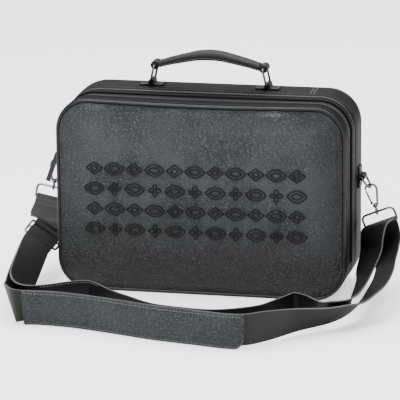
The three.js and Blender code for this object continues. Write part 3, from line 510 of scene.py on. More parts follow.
def frontFaceY(x, z):
    # depth of the front panel's face at a place, by finding the ring that passes through it
    x, z = np.asarray(x, float), np.asarray(z, float) - bag["height"] / 2
    r = bag["cornerRadius"] - 2 * bag["piping"] - gap
    hx, hz = halfWidth - 2 * bag["piping"] - gap, bag["height"] / 2 - 2 * bag["piping"] - gap
    low, high = np.full(x.shape, 0.001), np.full(x.shape, 1.2)
    for _ in range(26):
        size = (low + high) / 2
        qx, qz = np.abs(x / size) - hx + r, np.abs(z / size) - hz + r
        outside = np.hypot(np.maximum(qx, 0), np.maximum(qz, 0)) + np.minimum(np.maximum(qx, qz), 0) - r > 0
        low, high = np.where(outside, size, low), np.where(outside, high, size)
    return (frontY + gap - bag["frontPuff"] * smoothTable(size, panelSizes, frontPuffs)
            + softWaves(x, z + bag["height"] / 2, size, bag["frontWave"]))


putMesh("frontPanelSkin", *puffedPanel(frontY + gap, -bag["frontPuff"], frontPuffs, bag["frontWave"]),
                  frontLeather, replaces=["front_panel"], slot="shell_leather", sharp=60)
putMesh("backPanelSkin", *puffedPanel(-frontY - gap, bag["backPuff"], backPuffs, bag["backWave"]), backLeather,
        replaces=["back_panel"], slot="shell_leather", sharp=60)
for name, node, y, radius in (("frontPipingCord", "front_piping", pipingY, bag["piping"]),
                              ("backPipingCord", "back_piping", -pipingY, bag["piping"]),
                              ("ridgePipingCord", "ridge_piping", ridgeY, bag["ridge"])):
    putMesh(name, *pipingTube(outline, y, radius, radius, True), edgingLeather, replaces=[node],
            slot="edging_leather")
for name, node, start, end, roll, rows, leather in (
        ("frontZipStripSkin", "front_zip_strip", stripY, zipY, 1.0, 14, stripLeather),
        ("rearZipStripSkin", "rear_zip_strip", rearStripY, rearStripY + bag["rearStrip"], 1.0, 14, stripLeather),
        ("rearGussetSkin", "rear_gusset", gussetY, gussetEndY, 0.9, 26, gussetLeather)):
    putMesh(name, *wallBand(outline, start, end, 0, bag["skinWall"], roll, True, rows), leather,
            replaces=[node], slot="shell_leather")
for name, y in (("frontStripSeam", stripY + 3), ("frontZipSeam", zipY - 2.4), ("rearZipSeam", rearStripY + 2.4),
                ("ridgeSeam", rearStripY + bag["rearStrip"] - 2.6), ("gussetSeam", gussetY + 3.2),
                ("gussetBackSeam", gussetEndY - 3.2)):
    ringStitches(y, -0.05, outline, True, greyThread if name == "ridgeSeam" else darkThread, name)
# the gusset is sewn together from two lengths: a row of stitches either side of the joint
for side in (-2.2, 2.2):
    depth = np.linspace(gussetY + 5, gussetEndY - 5, 24)
    joint = np.tile([bag["jointX"] + side, bag["height"], 0, 1, 90], (len(depth), 1))
    ridge = skin(joint, depth, -0.08)
    putMesh(f"gussetJointStitches{'Left' if side < 0 else 'Right'}",
            *stitchParts(ridge, np.tile(zAxis, (len(ridge), 1)), 3.6, 2.5, 0.4), greyThread)
print("bag body made")

# zip
zipStations = outline[cornerSteps:len(outline) - cornerSteps - sideSteps + 1]
hingeStations = np.vstack([outline[len(outline) - cornerSteps - sideSteps:], outline[:cornerSteps + 1]]).copy()
hingeStations[[0, -1], 1] -= gap
tapeWidth = bag["zipWidth"] / 2 - bag["coilRadius"] - 2 * gap
recess, wall = bag["zipRecess"], bag["tapeWall"]
for name, node, start in (("zipTapeFrontCloth", "zip_tape_front", zipY + gap),
                          ("zipTapeRearCloth", "zip_tape_rear", rearStripY - gap - tapeWidth)):
    putMesh(name, *wallBand(zipStations, start, start + tapeWidth, recess, recess + wall, 0.2, False, 6),
            tapeCloth, replaces=[node], slot="zip_textile")
putMesh("zipHingeSkin", *wallBand(hingeStations, zipY + gap, rearStripY - gap, 0.5, bag["skinWall"], 0.4, False),
        stripLeather, replaces=["zip_hinge"], slot="shell_leather")


def zipTeeth(pitch=1.9):
    # coil teeth, drawn a little coarse: short rods laid in turn from either side over a thin core
    stations = zipStations
    centre = skin(stations, np.full(len(stations), coilY), recess + wall / 2)
    place, way, up = alongPath(centre, normalsOf(stations), pitch, margin=1)
    side = unit(np.cross(way, up))
    sign = np.where(np.arange(len(place)) % 2 == 0, 1, -1)[:, None]
    box = np.array([[a, b, c] for a in (-0.62, 0.62) for b in (-1.25, 1.25) for c in (-1.1, 1.1)])
    box[:, 1] *= np.where(box[:, 2] > 0, 0.8, 1)
    points = (place + sign * side * 0.55)[:, None] + np.einsum("vk,nkc->nvc", box, np.stack([way, side, up], 1))
    one = [[0, 1, 3, 2], [4, 6, 7, 5], [0, 4, 5, 1], [2, 3, 7, 6], [0, 2, 6, 4], [1, 5, 7, 3]]
    faces = [[v + i * 8 for v in face] for i in range(len(place)) for face in one]
    core = pipingTube(stations, coilY, 0.9, recess + wall / 2, False, 6)
    return joinParts((points.reshape(-1, 3), faces), core)


putMesh("zipTeeth", *zipTeeth(), toothNylon, replaces=["zip_coil"], slot="zip_textile", sharp=30)
print("zip made")

# ornament
# Bands of leaves, lozenges and rosettes in raised outline thread, the same on both sides of the middle
ornament = dict(centreX=-5, rowsZ=(161, 135, 109, 83), threadRadius=1.0, sunk=0.45, pitch=27.8 * 0.93, steps=5)


def leafLines():
    # pointed oval with a smaller one inside: width follows a sine along its length
    t = np.linspace(0, 1, 22)
    rings = []
    for length, height in ((25, 7.6), (15, 3.6)):
        top = np.stack([length * (t - 0.5), height * np.sin(np.pi * t) ** 0.8], 1)
        rings.append(np.vstack([top, top[-2:0:-1] * [1, -1]]))
    return rings


def lozengeLines():
    # two lozenges, one inside the other: four corners a quarter turn apart
    return [np.array([(w * math.cos(a), h * math.sin(a)) for a in np.arange(4) * np.pi / 2])
            for w, h in ((10.5, 8), (5, 3.8))]


def rosetteLines():
    # four petals: the radius swells four times in a turn, with a round eye
    a = np.linspace(0, 2 * np.pi, 40, endpoint=False)
    petal = 6.0 + 2.1 * np.cos(4 * a)
    eye = a[::3]
    return [np.stack([petal * np.cos(a), petal * np.sin(a)], 1), np.stack([2 * np.cos(eye), 2 * np.sin(eye)], 1)]


def threadLine(flat):
    # thread laid on the leather through flat places, resampled so that it follows the swell
    flat = np.asarray(flat, float)
    closed = np.vstack([flat, flat[:1]])
    s = runAlong(closed)
    at = np.linspace(0, s[-1], max(12, int(s[-1] / 1.3)), endpoint=False)
    x, z = np.interp(at, s, closed[:, 0]), np.interp(at, s, closed[:, 1])
    points = np.stack([x, frontFaceY(x, z) - ornament["sunk"], z], 1)
    return tube(points, ornament["threadRadius"], 6, True, facing=yAxis)


def ornamentParts():
    # four rows of eleven motifs; the kind changes with each step away from the middle
    motifs = {"leaf": leafLines(), "lozenge": lozengeLines(), "rosette": rosetteLines()}
    orders = [("leaf", "lozenge"), ("rosette", "leaf"), ("leaf", "lozenge"), ("rosette", "leaf")]
    parts = []
    for level, order in zip(ornament["rowsZ"], orders):
        for k in range(-ornament["steps"], ornament["steps"] + 1):
            for ring in motifs[order[abs(k) % 2]]:
                parts.append(threadLine(ring + [ornament["centreX"] + k * ornament["pitch"], level]))
    return joinParts(*parts)


putMesh("ornamentThread", *ornamentParts(), blackThread, sharp=80)
print("ornament made")

# ribbons of leather
def ribbonParts(upper, lower, outer, thick, crown=0.0, flats=7):
    # strap with eased corners: the section runs along one face, round an edge and back along the other
    w = np.linspace(0.5, -0.5, flats)
    half = thick / 2
    ease = min(0.5, half * 0.45)
    middle, across = (upper + lower) / 2, upper - lower
    width = np.linalg.norm(across, axis=1)[:, None]
    across = across / width
    spots = []
    for sign, order in ((1, w), (-1, w[::-1])):
        for share in order:
            swell = crown * (1 - (2 * share) ** 4) * (1 if sign > 0 else 0)
            shrink = ease if abs(abs(share) - 0.5) < 1e-9 else 0.0
            spots.append((share, -math.copysign(shrink, share), sign * half + sign * swell, 0.0))
        end = -0.5 if sign > 0 else 0.5
        for level in (0.55, 0.15, -0.15, -0.55):
            spots.append((end, 0.0, sign * level * half, 1.0))
    rings = np.stack([middle + across * (width * s + push) + outer * t for s, push, t, _ in spots], 1)
    run = runAlong(middle)
    points, faces = loftPoints(rings, False)
    n, m = rings.shape[:2]
    rim = np.tile([s[3] for s in spots], n)
    ply = np.tile([s[2] / thick for s in spots], n)
    uv = np.stack([np.repeat(run, m), (width * np.array([s[0] for s in spots])[None, :]).ravel()], 1)
    tail = lambda a, v: np.concatenate([a, v])
    return (points, faces, dict(uv=np.vstack([uv, [[0, 0], [run[-1], 0]]]),
                                values={"rim": tail(rim, [1, 1]), "ply": tail(ply, [0, 0])}))


# hardware and tabs
handle = dict(centre=-5, half=70, halfWidth=12.5, curlRadius=5.6, curlHalf=10.4, rise=26.5, arch=14,
              ringWidth=30, ringFoot=75, ringCorner=2.5, tabReach=15)
wire = 1.5
handleY = (gussetY + gussetEndY) / 2
topLevel = bag["height"] + bag["belly"] + gap
gripFoot = topLevel + handle["rise"]
tabLift, tabHalf, tabLeather, bore = 1, 10, 2, wire + gap


def ringOutline(width, height, footCorner, headCorner, steps=6):
    # rectangular ring with rounded corners, from its lower bar up
    spots = []
    for side, level, start in ((1, 1, 0), (-1, 1, 90), (-1, 0, 180), (1, 0, 270)):
        corner = headCorner if level else footCorner
        turn = np.radians(start + 90 * np.arange(steps + 1) / steps)
        spots.append(np.stack([side * (width / 2 - corner) + corner * np.cos(turn),
                               (height - corner if level else corner) + corner * np.sin(turn)], 1))
    return np.vstack(spots)


def closedWire(centre, across, along, flat, radius, sides=12):
    # round wire along a closed flat outline, laid in the plane of two directions
    points = np.asarray(centre) + flat[:, :1] * unit(across) + flat[:, 1:] * unit(along)
    return tube(points, radius, sides, True, facing=np.cross(across, along))


def tabRibbon(foot, out, along, reach):
    # leather folded round a bar: flat foot, up and round the bar, flat foot
    ring = bore + tabLeather / 2
    lift = tabLift + bore + tabLeather
    foot, facing = np.asarray(foot, float), np.cross(along, out)
    angles = np.radians(np.linspace(-52, 232, 26))
    flat = np.vstack([
        [[reach, 1.0], [reach * 0.75, 1.0], [ring * math.cos(angles[0]) + 3.4, 1.15]],
        np.stack([ring * np.cos(angles), lift + ring * np.sin(angles)], 1),
        [[-ring * math.cos(angles[0]) - 3.4, 1.15], [-reach * 0.75, 1.0], [-reach, 1.0]]])
    way = unit(np.gradient(flat, axis=0))
    outer = way[:, 1:] * along - way[:, :1] * out
    points = foot + flat[:, :1] * along + flat[:, 1:] * out
    outer = np.where(np.einsum("ij,ij->i", outer, points - foot - out * lift * 0.9)[:, None] < 0, -outer, outer)
    upper, lower = points + facing * tabHalf, points - facing * tabHalf
    bar = foot + out * lift
    rows = []
    for sign in (1, -1):
        for edge in (1, -1):
            line = foot + along * sign * np.linspace(ring + 3, reach - 1.5, 6)[:, None]
            rows.append(line + facing * edge * (tabHalf - 2) + out * (tabLeather + 0.05))
        ends = facing * np.linspace(-tabHalf + 2, tabHalf - 2, 8)[:, None]
        rows.append(foot + along * sign * (reach - 1.8) + ends + out * (tabLeather + 0.05))
    stitches = joinParts(*[stitchParts(r, np.tile(out, (len(r), 1)), 3.0, 2.1, 0.36) for r in rows])
    return ribbonParts(upper, lower, unit(outer), tabLeather * 0.94), bar, stitches


def putRibbon(name, made, material, **more):
    # a ribbon with its lengths along and across, and its marks for cut edges and plies
    points, faces, extra = made
    return putMesh(name, points, faces, material, uv=extra["uv"], values=extra["values"], **more)


for label, side in (("left", -1), ("right", 1)):
    foot = np.array([handle["centre"] + side * handle["ringFoot"], handleY, topLevel])
    made, bar, stitches = tabRibbon(foot, zAxis, xAxis, handle["tabReach"])
    putRibbon(f"handleTab_{label}", made, gripLeather, replaces=[f"handle_tab_{label}"], slot="shell_leather")
    putMesh(f"handleTabStitches_{label}", *stitches, greyThread)
    top = np.array([handle["centre"] + side * handle["half"], handleY, gripFoot])
    lean = top - bar
    corner = handle["ringCorner"]
    flat = ringOutline(handle["ringWidth"] - 2 * wire, np.linalg.norm(lean), corner, corner)
    putMesh(f"handleRingWire_{label}", *closedWire(bar, yAxis, unit(lean), flat, wire), metal,
            replaces=[f"handle_ring_{label}"], slot="gunmetal")

gripAlong = [-0.93, -0.78, -0.4, -0.18, 0, 0.18, 0.4, 0.78, 0.93]
gripRise = [0.08, 0.28, 0.74, 0.95, 1, 0.95, 0.74, 0.28, 0.08]
gripThick = [8.6, 9, 10.6, 11.6, 12, 11.6, 10.6, 9, 8.6]
gripHalf = [0.86, 0.92, 1, 1, 1, 1, 1, 0.92, 0.86]


def gripParts():
    # padded grip: flat under, rounded on top, its section carried along the arch; rolled ends round the bars
    at = np.linspace(-0.93, 0.93, 61)
    rise, thick, half = (smoothTable(at, gripAlong, rows) for rows in (gripRise, gripThick, gripHalf))
    turn = fullTurn(32)
    c, s = np.cos(turn), np.sin(turn)
    side = np.sign(c) * np.abs(c) ** 0.62
    level = np.where(s > 0, np.abs(s) ** 0.8, -np.abs(s) ** 0.42) * 0.5
    rings = np.stack([
        handle["centre"] + at[:, None] * handle["half"] + 0 * side[None, :],
        handleY + half[:, None] * handle["halfWidth"] * side[None, :],
        gripFoot + rise[:, None] * handle["arch"] + level[None, :] * thick[:, None]], -1)
    parts = [loftPoints(rings, False)]
    for sign in (-1, 1):
        middle = np.array([handle["centre"] + sign * handle["half"], handleY, gripFoot])
        ends = [middle - yAxis * handle["curlHalf"], middle + yAxis * handle["curlHalf"]]
        r = handle["curlRadius"]
        parts.append(turned(*ends, [(0, bore), (0, r * 0.8), (0.04, r * 0.96), (0.1, r), (0.9, r),
                                    (0.96, r * 0.96), (1, r * 0.8), (1, bore)], 24))
    return joinParts(*parts), at, rise, thick, half


gripMesh, at, rise, thick, half = gripParts()
putMesh("handleGripPad", *gripMesh, gripLeather, replaces=["handle_grip"], slot="shell_leather",
                  sharp=50)
for label, sign in (("Front", -1), ("Back", 1)):
    seam = np.stack([handle["centre"] + at * handle["half"], handleY + sign * (half * handle["halfWidth"] + 0.02),
                     gripFoot + rise * handle["arch"] - 0.2 * thick], 1)
    putMesh(f"gripSeam{label}", *stitchParts(seam, np.tile(yAxis * sign, (len(seam), 1)), 3.6, 2.6, 0.42),
            greyThread)
print("handle made")

hangings = {"left": dict(side=-1, ringDrop=0, hookLean=8, barTilt=11),
            "right": dict(side=1, ringDrop=56, hookLean=15, barTilt=22)}
hook = dict(length=26, halfWidth=7.2, barrelRadius=3.3, barrelLength=4, stem=1.1, knuckle=1.7, knuckleHalf=2,
            lever=1.2, eye=3.7, eyeWire=1.3, headThick=1.2)
sideTab = dict(height=141, reach=13.5)
dRing = dict(width=27, length=20, across=[0.94, 1, 0.98, 0.84, 0.5, 0], along=[0, 0.06, 0.3, 0.6, 0.88, 1])
hookAcross = [0.42, 0.55, 0.82, 1, 0.8, 0.35, -0.35, -0.8, -1]
hookAlong = [-0.05, 0.12, 0.45, 0.76, 0.92, 1, 1, 0.92, 0.8]
strapRing = dict(width=46, height=20, foot=1.7, crown=6)
bars = {}
for label, row in hangings.items():
    side = row["side"]
    foot = np.array([side * (halfWidth + bag["belly"] + gap), handleY, sideTab["height"]])
    out = xAxis * side
    made, bar, stitches = tabRibbon(foot, out, zAxis, sideTab["reach"])
    putRibbon(f"sideTab_{label}", made, gripLeather, replaces=[f"side_tab_{label}"], slot="shell_leather")
    putMesh(f"sideTabStitches_{label}", *stitches, darkThread)
    drop = math.radians(row["ringDrop"])
    ringWay = out * math.cos(drop) - zAxis * math.sin(drop)
    ringHalf, reach = dRing["width"] / 2 - wire, dRing["length"] - 2 * wire
    right = np.stack([np.array(dRing["across"]) * ringHalf, np.array(dRing["along"]) * reach, 0 * np.ones(6)], 1)
    loop = np.vstack([right, (right * [-1, 1, 1])[-2::-1]])
    curve = course(loop, 4)[:, :2]
    putMesh(f"dRingWire_{label}", *closedWire(bar, yAxis, ringWay, curve, wire), metal,
            replaces=[f"d_ring_{label}"], slot="gunmetal")

    lean = math.radians(row["hookLean"])
    down = np.array([side * math.sin(lean), 0, -math.cos(lean)])
    up = -down
    across = np.array([side * up[2], 0, -side * up[0]])
    base = bar + ringWay * reach + up * (2 * wire + gap) + down * hook["length"]
    place = lambda u, v: base + across * u + up * v
    path = course([place(a * hook["halfWidth"], b * hook["length"]) for a, b in zip(hookAcross, hookAlong)], 6)
    thickness = wire * np.interp(np.linspace(0, 1, len(path)), [0, 0.3, 0.6, 1], [1.0, 1.0, 1.0, 0.86])
    barrel = turned(place(0, -hook["barrelLength"]), place(0, 0),
                    [(0, 1.5), (0, 2.7), (0.12, 3.1), (0.35, 3.3), (0.45, 2.95), (0.6, 3.3), (0.88, 3.1), (1, 2.5),
                     (1, 1.5)], 20)
    putMesh(f"hookBodyCast_{label}", *joinParts(tube(path, thickness, 12, False), barrel), metal,
            replaces=[f"hook_body_{label}"], slot="gunmetal")
    pivot = place(-hook["barrelRadius"] - gap, hook["knuckle"] + gap)
    nose = place(-hook["halfWidth"], 0.8 * hook["length"] - 3 * gap)
    gate = tube(course([pivot, pivot + (nose - pivot) * 0.5, nose], 6),
                hook["lever"] * np.array([1] * 10 + [0.9, 0.8, 0.6]), 12, False)
    pin = turned(pivot - yAxis * hook["knuckleHalf"], pivot + yAxis * hook["knuckleHalf"],
                 [(0, 1.1), (0.08, 1.6), (0.5, 1.7), (0.92, 1.6), (1, 1.1)], 16)
    putMesh(f"hookLeverCast_{label}", *joinParts(gate, pin), metal, body=f"lever_{label}",
            replaces=[f"hook_lever_{label}"], slot="gunmetal")
    eyeCentre = place(0, -hook["barrelLength"] - gap - hook["eye"] - hook["eyeWire"])
    turn = np.linspace(0, 2 * np.pi, 28, endpoint=False)
    eyeFlat = np.stack([hook["eye"] * np.cos(turn), hook["eye"] * np.sin(turn)], 1)
    stem = turned(eyeCentre + up * hook["eye"], place(0, gap + hook["headThick"]),
                  [(0, hook["stem"]), (0.5, hook["stem"]), (0.86, hook["stem"]), (0.87, 1.7), (1, 1.5)], 14)
    eye = closedWire(eyeCentre, yAxis, up, eyeFlat, hook["eyeWire"])
    putMesh(f"hookSwivelCast_{label}", *joinParts(eye, stem), metal, replaces=[f"hook_swivel_{label}"],
            slot="gunmetal")
    tilt = math.radians(row["barTilt"])
    barWay = np.array([side * math.cos(tilt), 0, math.sin(tilt)])
    ringDown = np.array([side * math.sin(tilt), 0, -math.cos(tilt)])
    lowBar = (eyeCentre + down * (hook["eye"] - hook["eyeWire"] - gap - wire)
              + ringDown * (strapRing["height"] - 2 * wire))
    flat = ringOutline(strapRing["width"] - 2 * wire, strapRing["height"] - 2 * wire, strapRing["foot"],
                       strapRing["crown"])
    putMesh(f"strapRingWire_{label}", *closedWire(lowBar, barWay, -ringDown, flat, wire), metal,
            replaces=[f"strap_ring_{label}"], slot="gunmetal")
    bars[label] = dict(bar=lowBar, way=barWay, down=ringDown)
print("side hardware made")

# strap
strap = dict(width=39, thick=2.5, padThick=4, padWidth=42.4, padCorner=12, padFrom=1.03, padTo=0.53, padStand=0.7,
             reach=280, glideWidth=50, glideHeight=27, glideCorner=3, glideForward=41, glideDrop=37, glideTilt=31)


def strapFrame(centre, across, toward):
    # directions on the strap: across, along it square to that, and lift square to both
    toward = np.asarray(toward, float)
    way = unit(toward - across * toward.dot(across))
    return dict(centre=np.asarray(centre, float), across=across, way=way, lift=unit(np.cross(across, way)))


glideTurn = math.radians(strap["glideTilt"])
glideAcross = np.array([-math.cos(glideTurn), 0, math.sin(glideTurn)])
glideCentre = bars["left"]["bar"] + [0, -strap["glideForward"], -strap["glideDrop"]]
glideFrame = strapFrame(glideCentre, glideAcross, (-0.02, -0.88, -0.46))
leftFrame = strapFrame(bars["left"]["bar"], bars["left"]["way"], (0, -0.74, -0.67))
rightFrame = strapFrame(bars["right"]["bar"], bars["right"]["way"], bars["right"]["down"])
pitch = strap["glideHeight"] / 2 - wire
wrap = wire + 2 * gap + strap["thick"] / 2
glideFlat = ringOutline(strap["glideWidth"] - 2 * wire, 2 * pitch, strap["glideCorner"], strap["glideCorner"])
glideReach = glideAcross * (strap["glideWidth"] / 2 - wire)
putMesh("strapGlideWire", *joinParts(
    closedWire(glideCentre - glideFrame["way"] * pitch, glideAcross, glideFrame["way"], glideFlat, wire),
    turned(glideCentre - glideReach, glideCentre + glideReach,
           [(0, 1.3), (0.02, 1.5), (0.98, 1.5), (1, 1.3)], 12)), metal, replaces=["strap_glide"], slot="gunmetal")


def turnSpots(f, rows):
    # rows are (bar pitches along, wraps along, wraps of lift)
    return [(f["centre"] + f["way"] * (p * pitch + w * wrap) + f["lift"] * lift * wrap, f["across"], 1.0)
            for p, w, lift in rows]


def direction(turn, stand):
    # unit direction from a turn about the upright and a height angle, both in degrees
    t, s = math.radians(turn), math.radians(stand)
    return np.array([math.cos(s) * math.cos(t), math.cos(s) * math.sin(t), math.sin(s)])


def floorSpots(rows, level):
    # rows are (across, forward, up, turn, stand, width share); a short row stands upright at the given level
    usual = (level, 270, 90, 1)
    return [(np.array([a * halfWidth, -f * strap["reach"], u * strap["width"]]), direction(t, s), w)
            for a, f, u, t, s, w in ((*row, *usual[len(row) - 2:]) for row in rows)]


def hangSpots(rows):
    # rows are (out, back, rise, turn, stand) from the right ring's bar, in strap widths
    return [(bars["right"]["bar"] + np.array([o, b, r]) * strap["width"], direction(t, s), 1.0)
            for o, b, r, t, s in rows]


leftRingTurn = [(0, 8.96, -0.84), (0, 3.58, -0.84), (0, 0.9, -1), (0, -0.7, -0.7), (0, -1, 0), (0, -0.7, 0.7),
                (0, 0.9, 1), (0, 3.58, 0.09), (0, 8.36, 0.09)]
glideEntry = [(-1.33, 0, 0.8), (-1, 0, 1), (-0.66, 0, -0.15), (-0.45, 0, -1.56), (-0.025, 0, -1.84)]
glideExit = [(0.025, 0, -1.84), (0.45, 0, -1.56), (0.66, 0, -0.15), (1, 0, 1), (1.42, 0, 0.5), (2.25, 0, 0.5)]
rightRingTurn = [(0, 1.19, 1), (0, -0.7, 0.7), (0, -1, 0), (0, -1, -1)]
glideReturn = [(2.25, 0, 1.75), (1.42, 0, 1.34), (1, 0, 1.84), (0.42, 0, 1.15), (0, 0, 1), (0, -0.7, 0.7),
               (0, -1, 0), (0, -0.7, -0.7), (0, 0.3, -1)]
frontRows = [
    (-1.21, 0.24, 0.8, 187, 36), (-1.19, 0.39, 0.64, 195, 40), (-1.15, 0.58, 0.58, 200, 50),
    (-1.11, 0.755, 0.58, 130, 50, 1.35), (-1.055, 0.795, 0.6, 140, 74, 1.03), (-0.965, 0.79, 0.6, 270, 89),
    (-0.855, 0.787), (-0.675, 0.8), (-0.325, 0.864), (-0.1, 0.911), (0.216, 0.954), (0.44, 0.982),
    (0.54, 0.972), (0.655, 0.904, 0.6, 266, 82), (0.827, 0.779, 0.585, 266, 58), (1.02, 0.69, 0.6, 268, 41),
    (1.124, 0.616, 0.66, 280, 31), (1.195, 0.571, 0.8, 284, 15), (1.238, 0.468, 0.95, 291, 5),
    (1.26, 0.343, 1.01, 303, 5), (1.257, 0.182, 1.1, 314, 9), (1.232, 0.057, 1.18, 323, 12)]
farHanging = [(0.22, -0.47, -0.75, 338, 17), (0.17, 0, -0.52, 354, 22)]
nearHanging = [(-0.06, -0.25, 0.08, 352, 21), (-0.17, -0.46, 0, 338, 20), (-0.2, -0.74, -0.3, 327, 13),
               (-0.2, -0.92, -0.66, 322, 10)]
backRows = [
    (1.11, 0.157, 0.92, 309, 9), (1.127, 0.325, 0.87, 295, 8), (1.12, 0.4875, 0.8, 284, 15),
    (1.103, 0.602, 0.77, 273, 32), (1.04, 0.66, 0.73, 268, 45), (0.965, 0.65, 0.56, 268, 60),
    (0.838, 0.596, 0.54, 268, 78), (0.751, 0.579), (0.703, 0.639), (0.649, 0.714), (0.568, 0.804),
    (0.319, 0.895), (0.097, 0.889), (-0.124, 0.85), (-0.3, 0.765), (-0.46, 0.68), (-0.589, 0.589),
    (-0.665, 0.556), (-0.784, 0.589), (-0.892, 0.646), (-0.978, 0.672, 0.53, 215, 86),
    (-1.038, 0.66, 0.54, 209, 74), (-1.09, 0.618, 0.59, 206, 62), (-1.14, 0.525, 0.7, 203, 51),
    (-1.168, 0.393, 0.78, 195, 41), (-1.19, 0.239, 0.96, 187, 36)]


def bandStations(spots, steps=8):
    # the two edges are smooth curves; the outer direction stands square to the band
    upper = course([c + a * strap["width"] * w / 2 for c, a, w in spots], steps)
    lower = course([c - a * strap["width"] * w / 2 for c, a, w in spots], steps)
    way = unit(np.gradient(upper + lower, axis=0))
    return upper, lower, unit(np.cross(way, unit(upper - lower)))


shortBand = bandStations(turnSpots(leftFrame, leftRingTurn) + turnSpots(glideFrame, glideEntry))
putRibbon("strapShortEnd", ribbonParts(*shortBand, strap["thick"]), strapLeather, replaces=["strap_short_end"],
          slot="strap_leather", sharp=35)
longBand = bandStations(turnSpots(glideFrame, glideExit) + floorSpots(frontRows, 0.6) + hangSpots(farHanging)
                        + turnSpots(rightFrame, rightRingTurn) + hangSpots(nearHanging)
                        + floorSpots(backRows, 0.53) + turnSpots(glideFrame, glideReturn))
putRibbon("strapLongBand", ribbonParts(*longBand, strap["thick"]), strapLeather,
          replaces=["strap_front_run", "strap_back_run"], slot="strap_leather", sharp=35)


def padSpan():
    # the band's front run between the left fold and the pad's end, lifted off its outer face
    upper, lower, outer = longBand
    standing = upper[:, 1] < -strap["padStand"] * strap["reach"]
    start = np.argmax((upper[:, 0] > -strap["padFrom"] * halfWidth) & standing)
    end = np.argmax(upper[:, 0] > strap["padTo"] * halfWidth)
    lift = (strap["thick"] + strap["padThick"]) / 2 + 2 * gap
    across = unit(upper - lower)[start:end]
    top = upper[start:end] + outer[start:end] * lift
    left = np.linalg.norm(top - top[-1], axis=1)
    corner = strap["padCorner"]
    cut = corner - np.sqrt(np.maximum(0, corner ** 2 - np.maximum(0, corner - left) ** 2))
    return top, top - across * (strap["padWidth"] - cut)[:, None], outer[start:end], across


padTop, padFoot, padOut, padAcross = padSpan()
padPoints, padFaces, padExtra = ribbonParts(padTop, padFoot, padOut, strap["padThick"] * 0.72, crown=1.0, flats=15)
putMesh("shoulderPadCover", padPoints, padFaces, padLeather, uv=padExtra["uv"],
                  values=padExtra["values"], replaces=["shoulder_pad"], slot="shell_leather", sharp=45)
padFace = padOut * (strap["padThick"] * 0.36 + 0.35)
for label, row, sign in (("Upper", padTop, -1), ("Lower", padFoot, 1)):
    seam = row + padAcross * sign * 2.6 + padFace
    putMesh(f"padSeam{label}", *stitchParts(seam, padOut, 4.0, 2.6, 0.45, margin=3), greyThread)

# edge seam of the band's sewn stretch at the back left, and the sewn end at the left ring
upper, lower, outer = longBand
away = upper[:, 0] / halfWidth
sewn = (away < -0.55) & (away > -0.96) & (upper[:, 1] > -0.7 * strap["reach"]) & (upper[:, 2] < 45)
span = np.flatnonzero(sewn)
seam = upper[span] - unit(upper - lower)[span] * 2.4
for label, sign in (("Outer", 1), ("Inner", -1)):
    putMesh(f"backStretchSeam{label}", *stitchParts(seam + sign * outer[span] * (strap["thick"] / 2 + 0.05),
                                                    sign * outer[span], 4.0, 2.6, 0.42), greyThread)
upper, lower, outer = shortBand
across = unit(upper - lower)
run = runAlong((upper + lower) / 2)
turnAt = run[np.argmax(((upper + lower) / 2 - bars["left"]["bar"]) @ -leftFrame["way"])]
rows = []
for away in (8, 17, 29):
    k = int(np.argmin(np.abs(run - turnAt - away)))
    shares = np.linspace(-0.42, 0.42, 12)[:, None]
    rows.append((((upper[k] + lower[k]) / 2 + across[k] * shares * strap["width"]
                  + outer[k] * (strap["thick"] / 2 + 0.05)), outer[k]))
putMesh("strapEndStitches", *joinParts(*[stitchParts(p, np.tile(n, (len(p), 1)), 3.2, 2.2, 0.42)
                                         for p, n in rows]), greyThread)
print("strap made")

# zip pull
zipPull = dict(sliderHeight=178, sliderThick=2.6, bridgeRise=4, bridgeRadius=1, lean=20, wire=0.8, width=7,
               length=11, foot=1.5, head=2.5)
sliderX = -halfWidth + recess + wall / 2 - bag["coilRadius"] - gap
bridgeX = sliderX - zipPull["sliderThick"] - zipPull["bridgeRise"]
swing = math.radians(zipPull["lean"])
pullWay = np.array([-math.sin(swing), 0, -math.cos(swing)])
loopTop = np.array([bridgeX + zipPull["bridgeRadius"] + gap + zipPull["wire"], coilY,
                    zipPull["sliderHeight"] - zipPull["bridgeRadius"]])
loopFlat = ringOutline(zipPull["width"], zipPull["length"], zipPull["foot"], zipPull["head"])
putMesh("zipPullLoopWire", *closedWire(loopTop, yAxis, pullWay, loopFlat, zipPull["wire"]), metal,
        body="zip_pull", replaces=["zip_pull_loop"], slot="gunmetal")
for name in ("zip_slider", "zip_pull_tab"):
    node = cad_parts[name]
    for place in node.material_slots:
        place.material = pullMetal if name == "zip_pull_tab" else metal
print("zip pull made")

# stage, light and camera
floorMaterial, floorTree, floorShader, _ = startMaterial("paintedStudioFloor", Roughness=0.9)
floorShader.inputs["Base Color"].default_value = linearColor(0xfcfcfc)
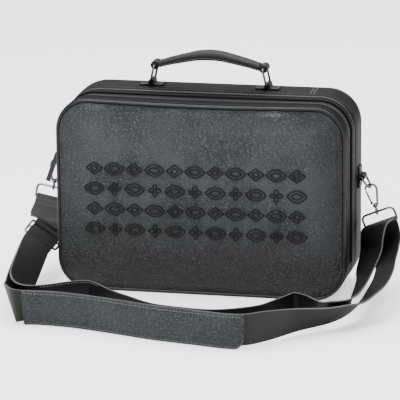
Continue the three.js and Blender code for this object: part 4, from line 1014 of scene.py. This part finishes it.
# a glow that only the camera sees makes the floor paler and throws no light on the bag
seen = addNode(floorTree, "ShaderNodeLightPath").outputs["Is Camera Ray"]
glow = compute(floorTree, "MULTIPLY", seen, 0.9)
floorShader.inputs["Emission Color"].default_value = (1, 1, 1, 1)
floorTree.links.new(glow, floorShader.inputs["Emission Strength"])
floorMesh = bpy.data.meshes.new("floor")
floorMesh.from_pydata([(-6, -6, 0), (6, -6, 0), (6, 6, 0), (-6, 6, 0)], [], [(0, 1, 2, 3)])
floorMesh.materials.append(floorMaterial)
floor = bpy.data.objects.new("floor", floorMesh)
bpy.context.scene.collection.objects.link(floor)

world = bpy.data.worlds.new("softStudio")
bpy.context.scene.world = world
world.use_nodes = True
world.node_tree.nodes["Background"].inputs["Color"].default_value = (1, 1, 1, 1)
world.node_tree.nodes["Background"].inputs["Strength"].default_value = 0.4
lights = [dict(name="keyPanel", spot=(-0.55, -1.5, 1.6), size=0.7, watts=48),
          dict(name="fillPanel", spot=(1.5, -1.2, 1.0), size=0.9, watts=4),
          dict(name="overheadPanel", spot=(0.0, 0.7, 2.7), size=4.0, watts=235)]
for row in lights:
    data = bpy.data.lights.new(row["name"], "AREA")
    data.size, data.energy = row["size"], row["watts"]
    lamp = bpy.data.objects.new(row["name"], data)
    lamp.location = row["spot"]
    lamp.rotation_euler = (Vector((0, -0.05, 0.12)) - lamp.location).to_track_quat("-Z", "Y").to_euler()
    bpy.context.scene.collection.objects.link(lamp)

shot = dict(target=(-0.0129, 0.0, 0.1082), distance=4.0, azimuth=12.3, elevation=14.45, lens=283.3, roll=0.5)
a, e = math.radians(shot["azimuth"]), math.radians(shot["elevation"])
back = Vector((math.sin(a) * math.cos(e), -math.cos(a) * math.cos(e), math.sin(e)))
cameraData = bpy.data.cameras.new("camera")
cameraData.lens, cameraData.sensor_width = shot["lens"], 36
camera = bpy.data.objects.new("camera", cameraData)
aim = (-back).to_track_quat("-Z", "Y").to_matrix().to_4x4()
camera.matrix_world = (Matrix.Translation(Vector(shot["target"]) + back * shot["distance"]) @ aim
                       @ Matrix.Rotation(math.radians(-shot["roll"]), 4, "Z"))
bpy.context.scene.collection.objects.link(camera)
bpy.context.scene.camera = camera
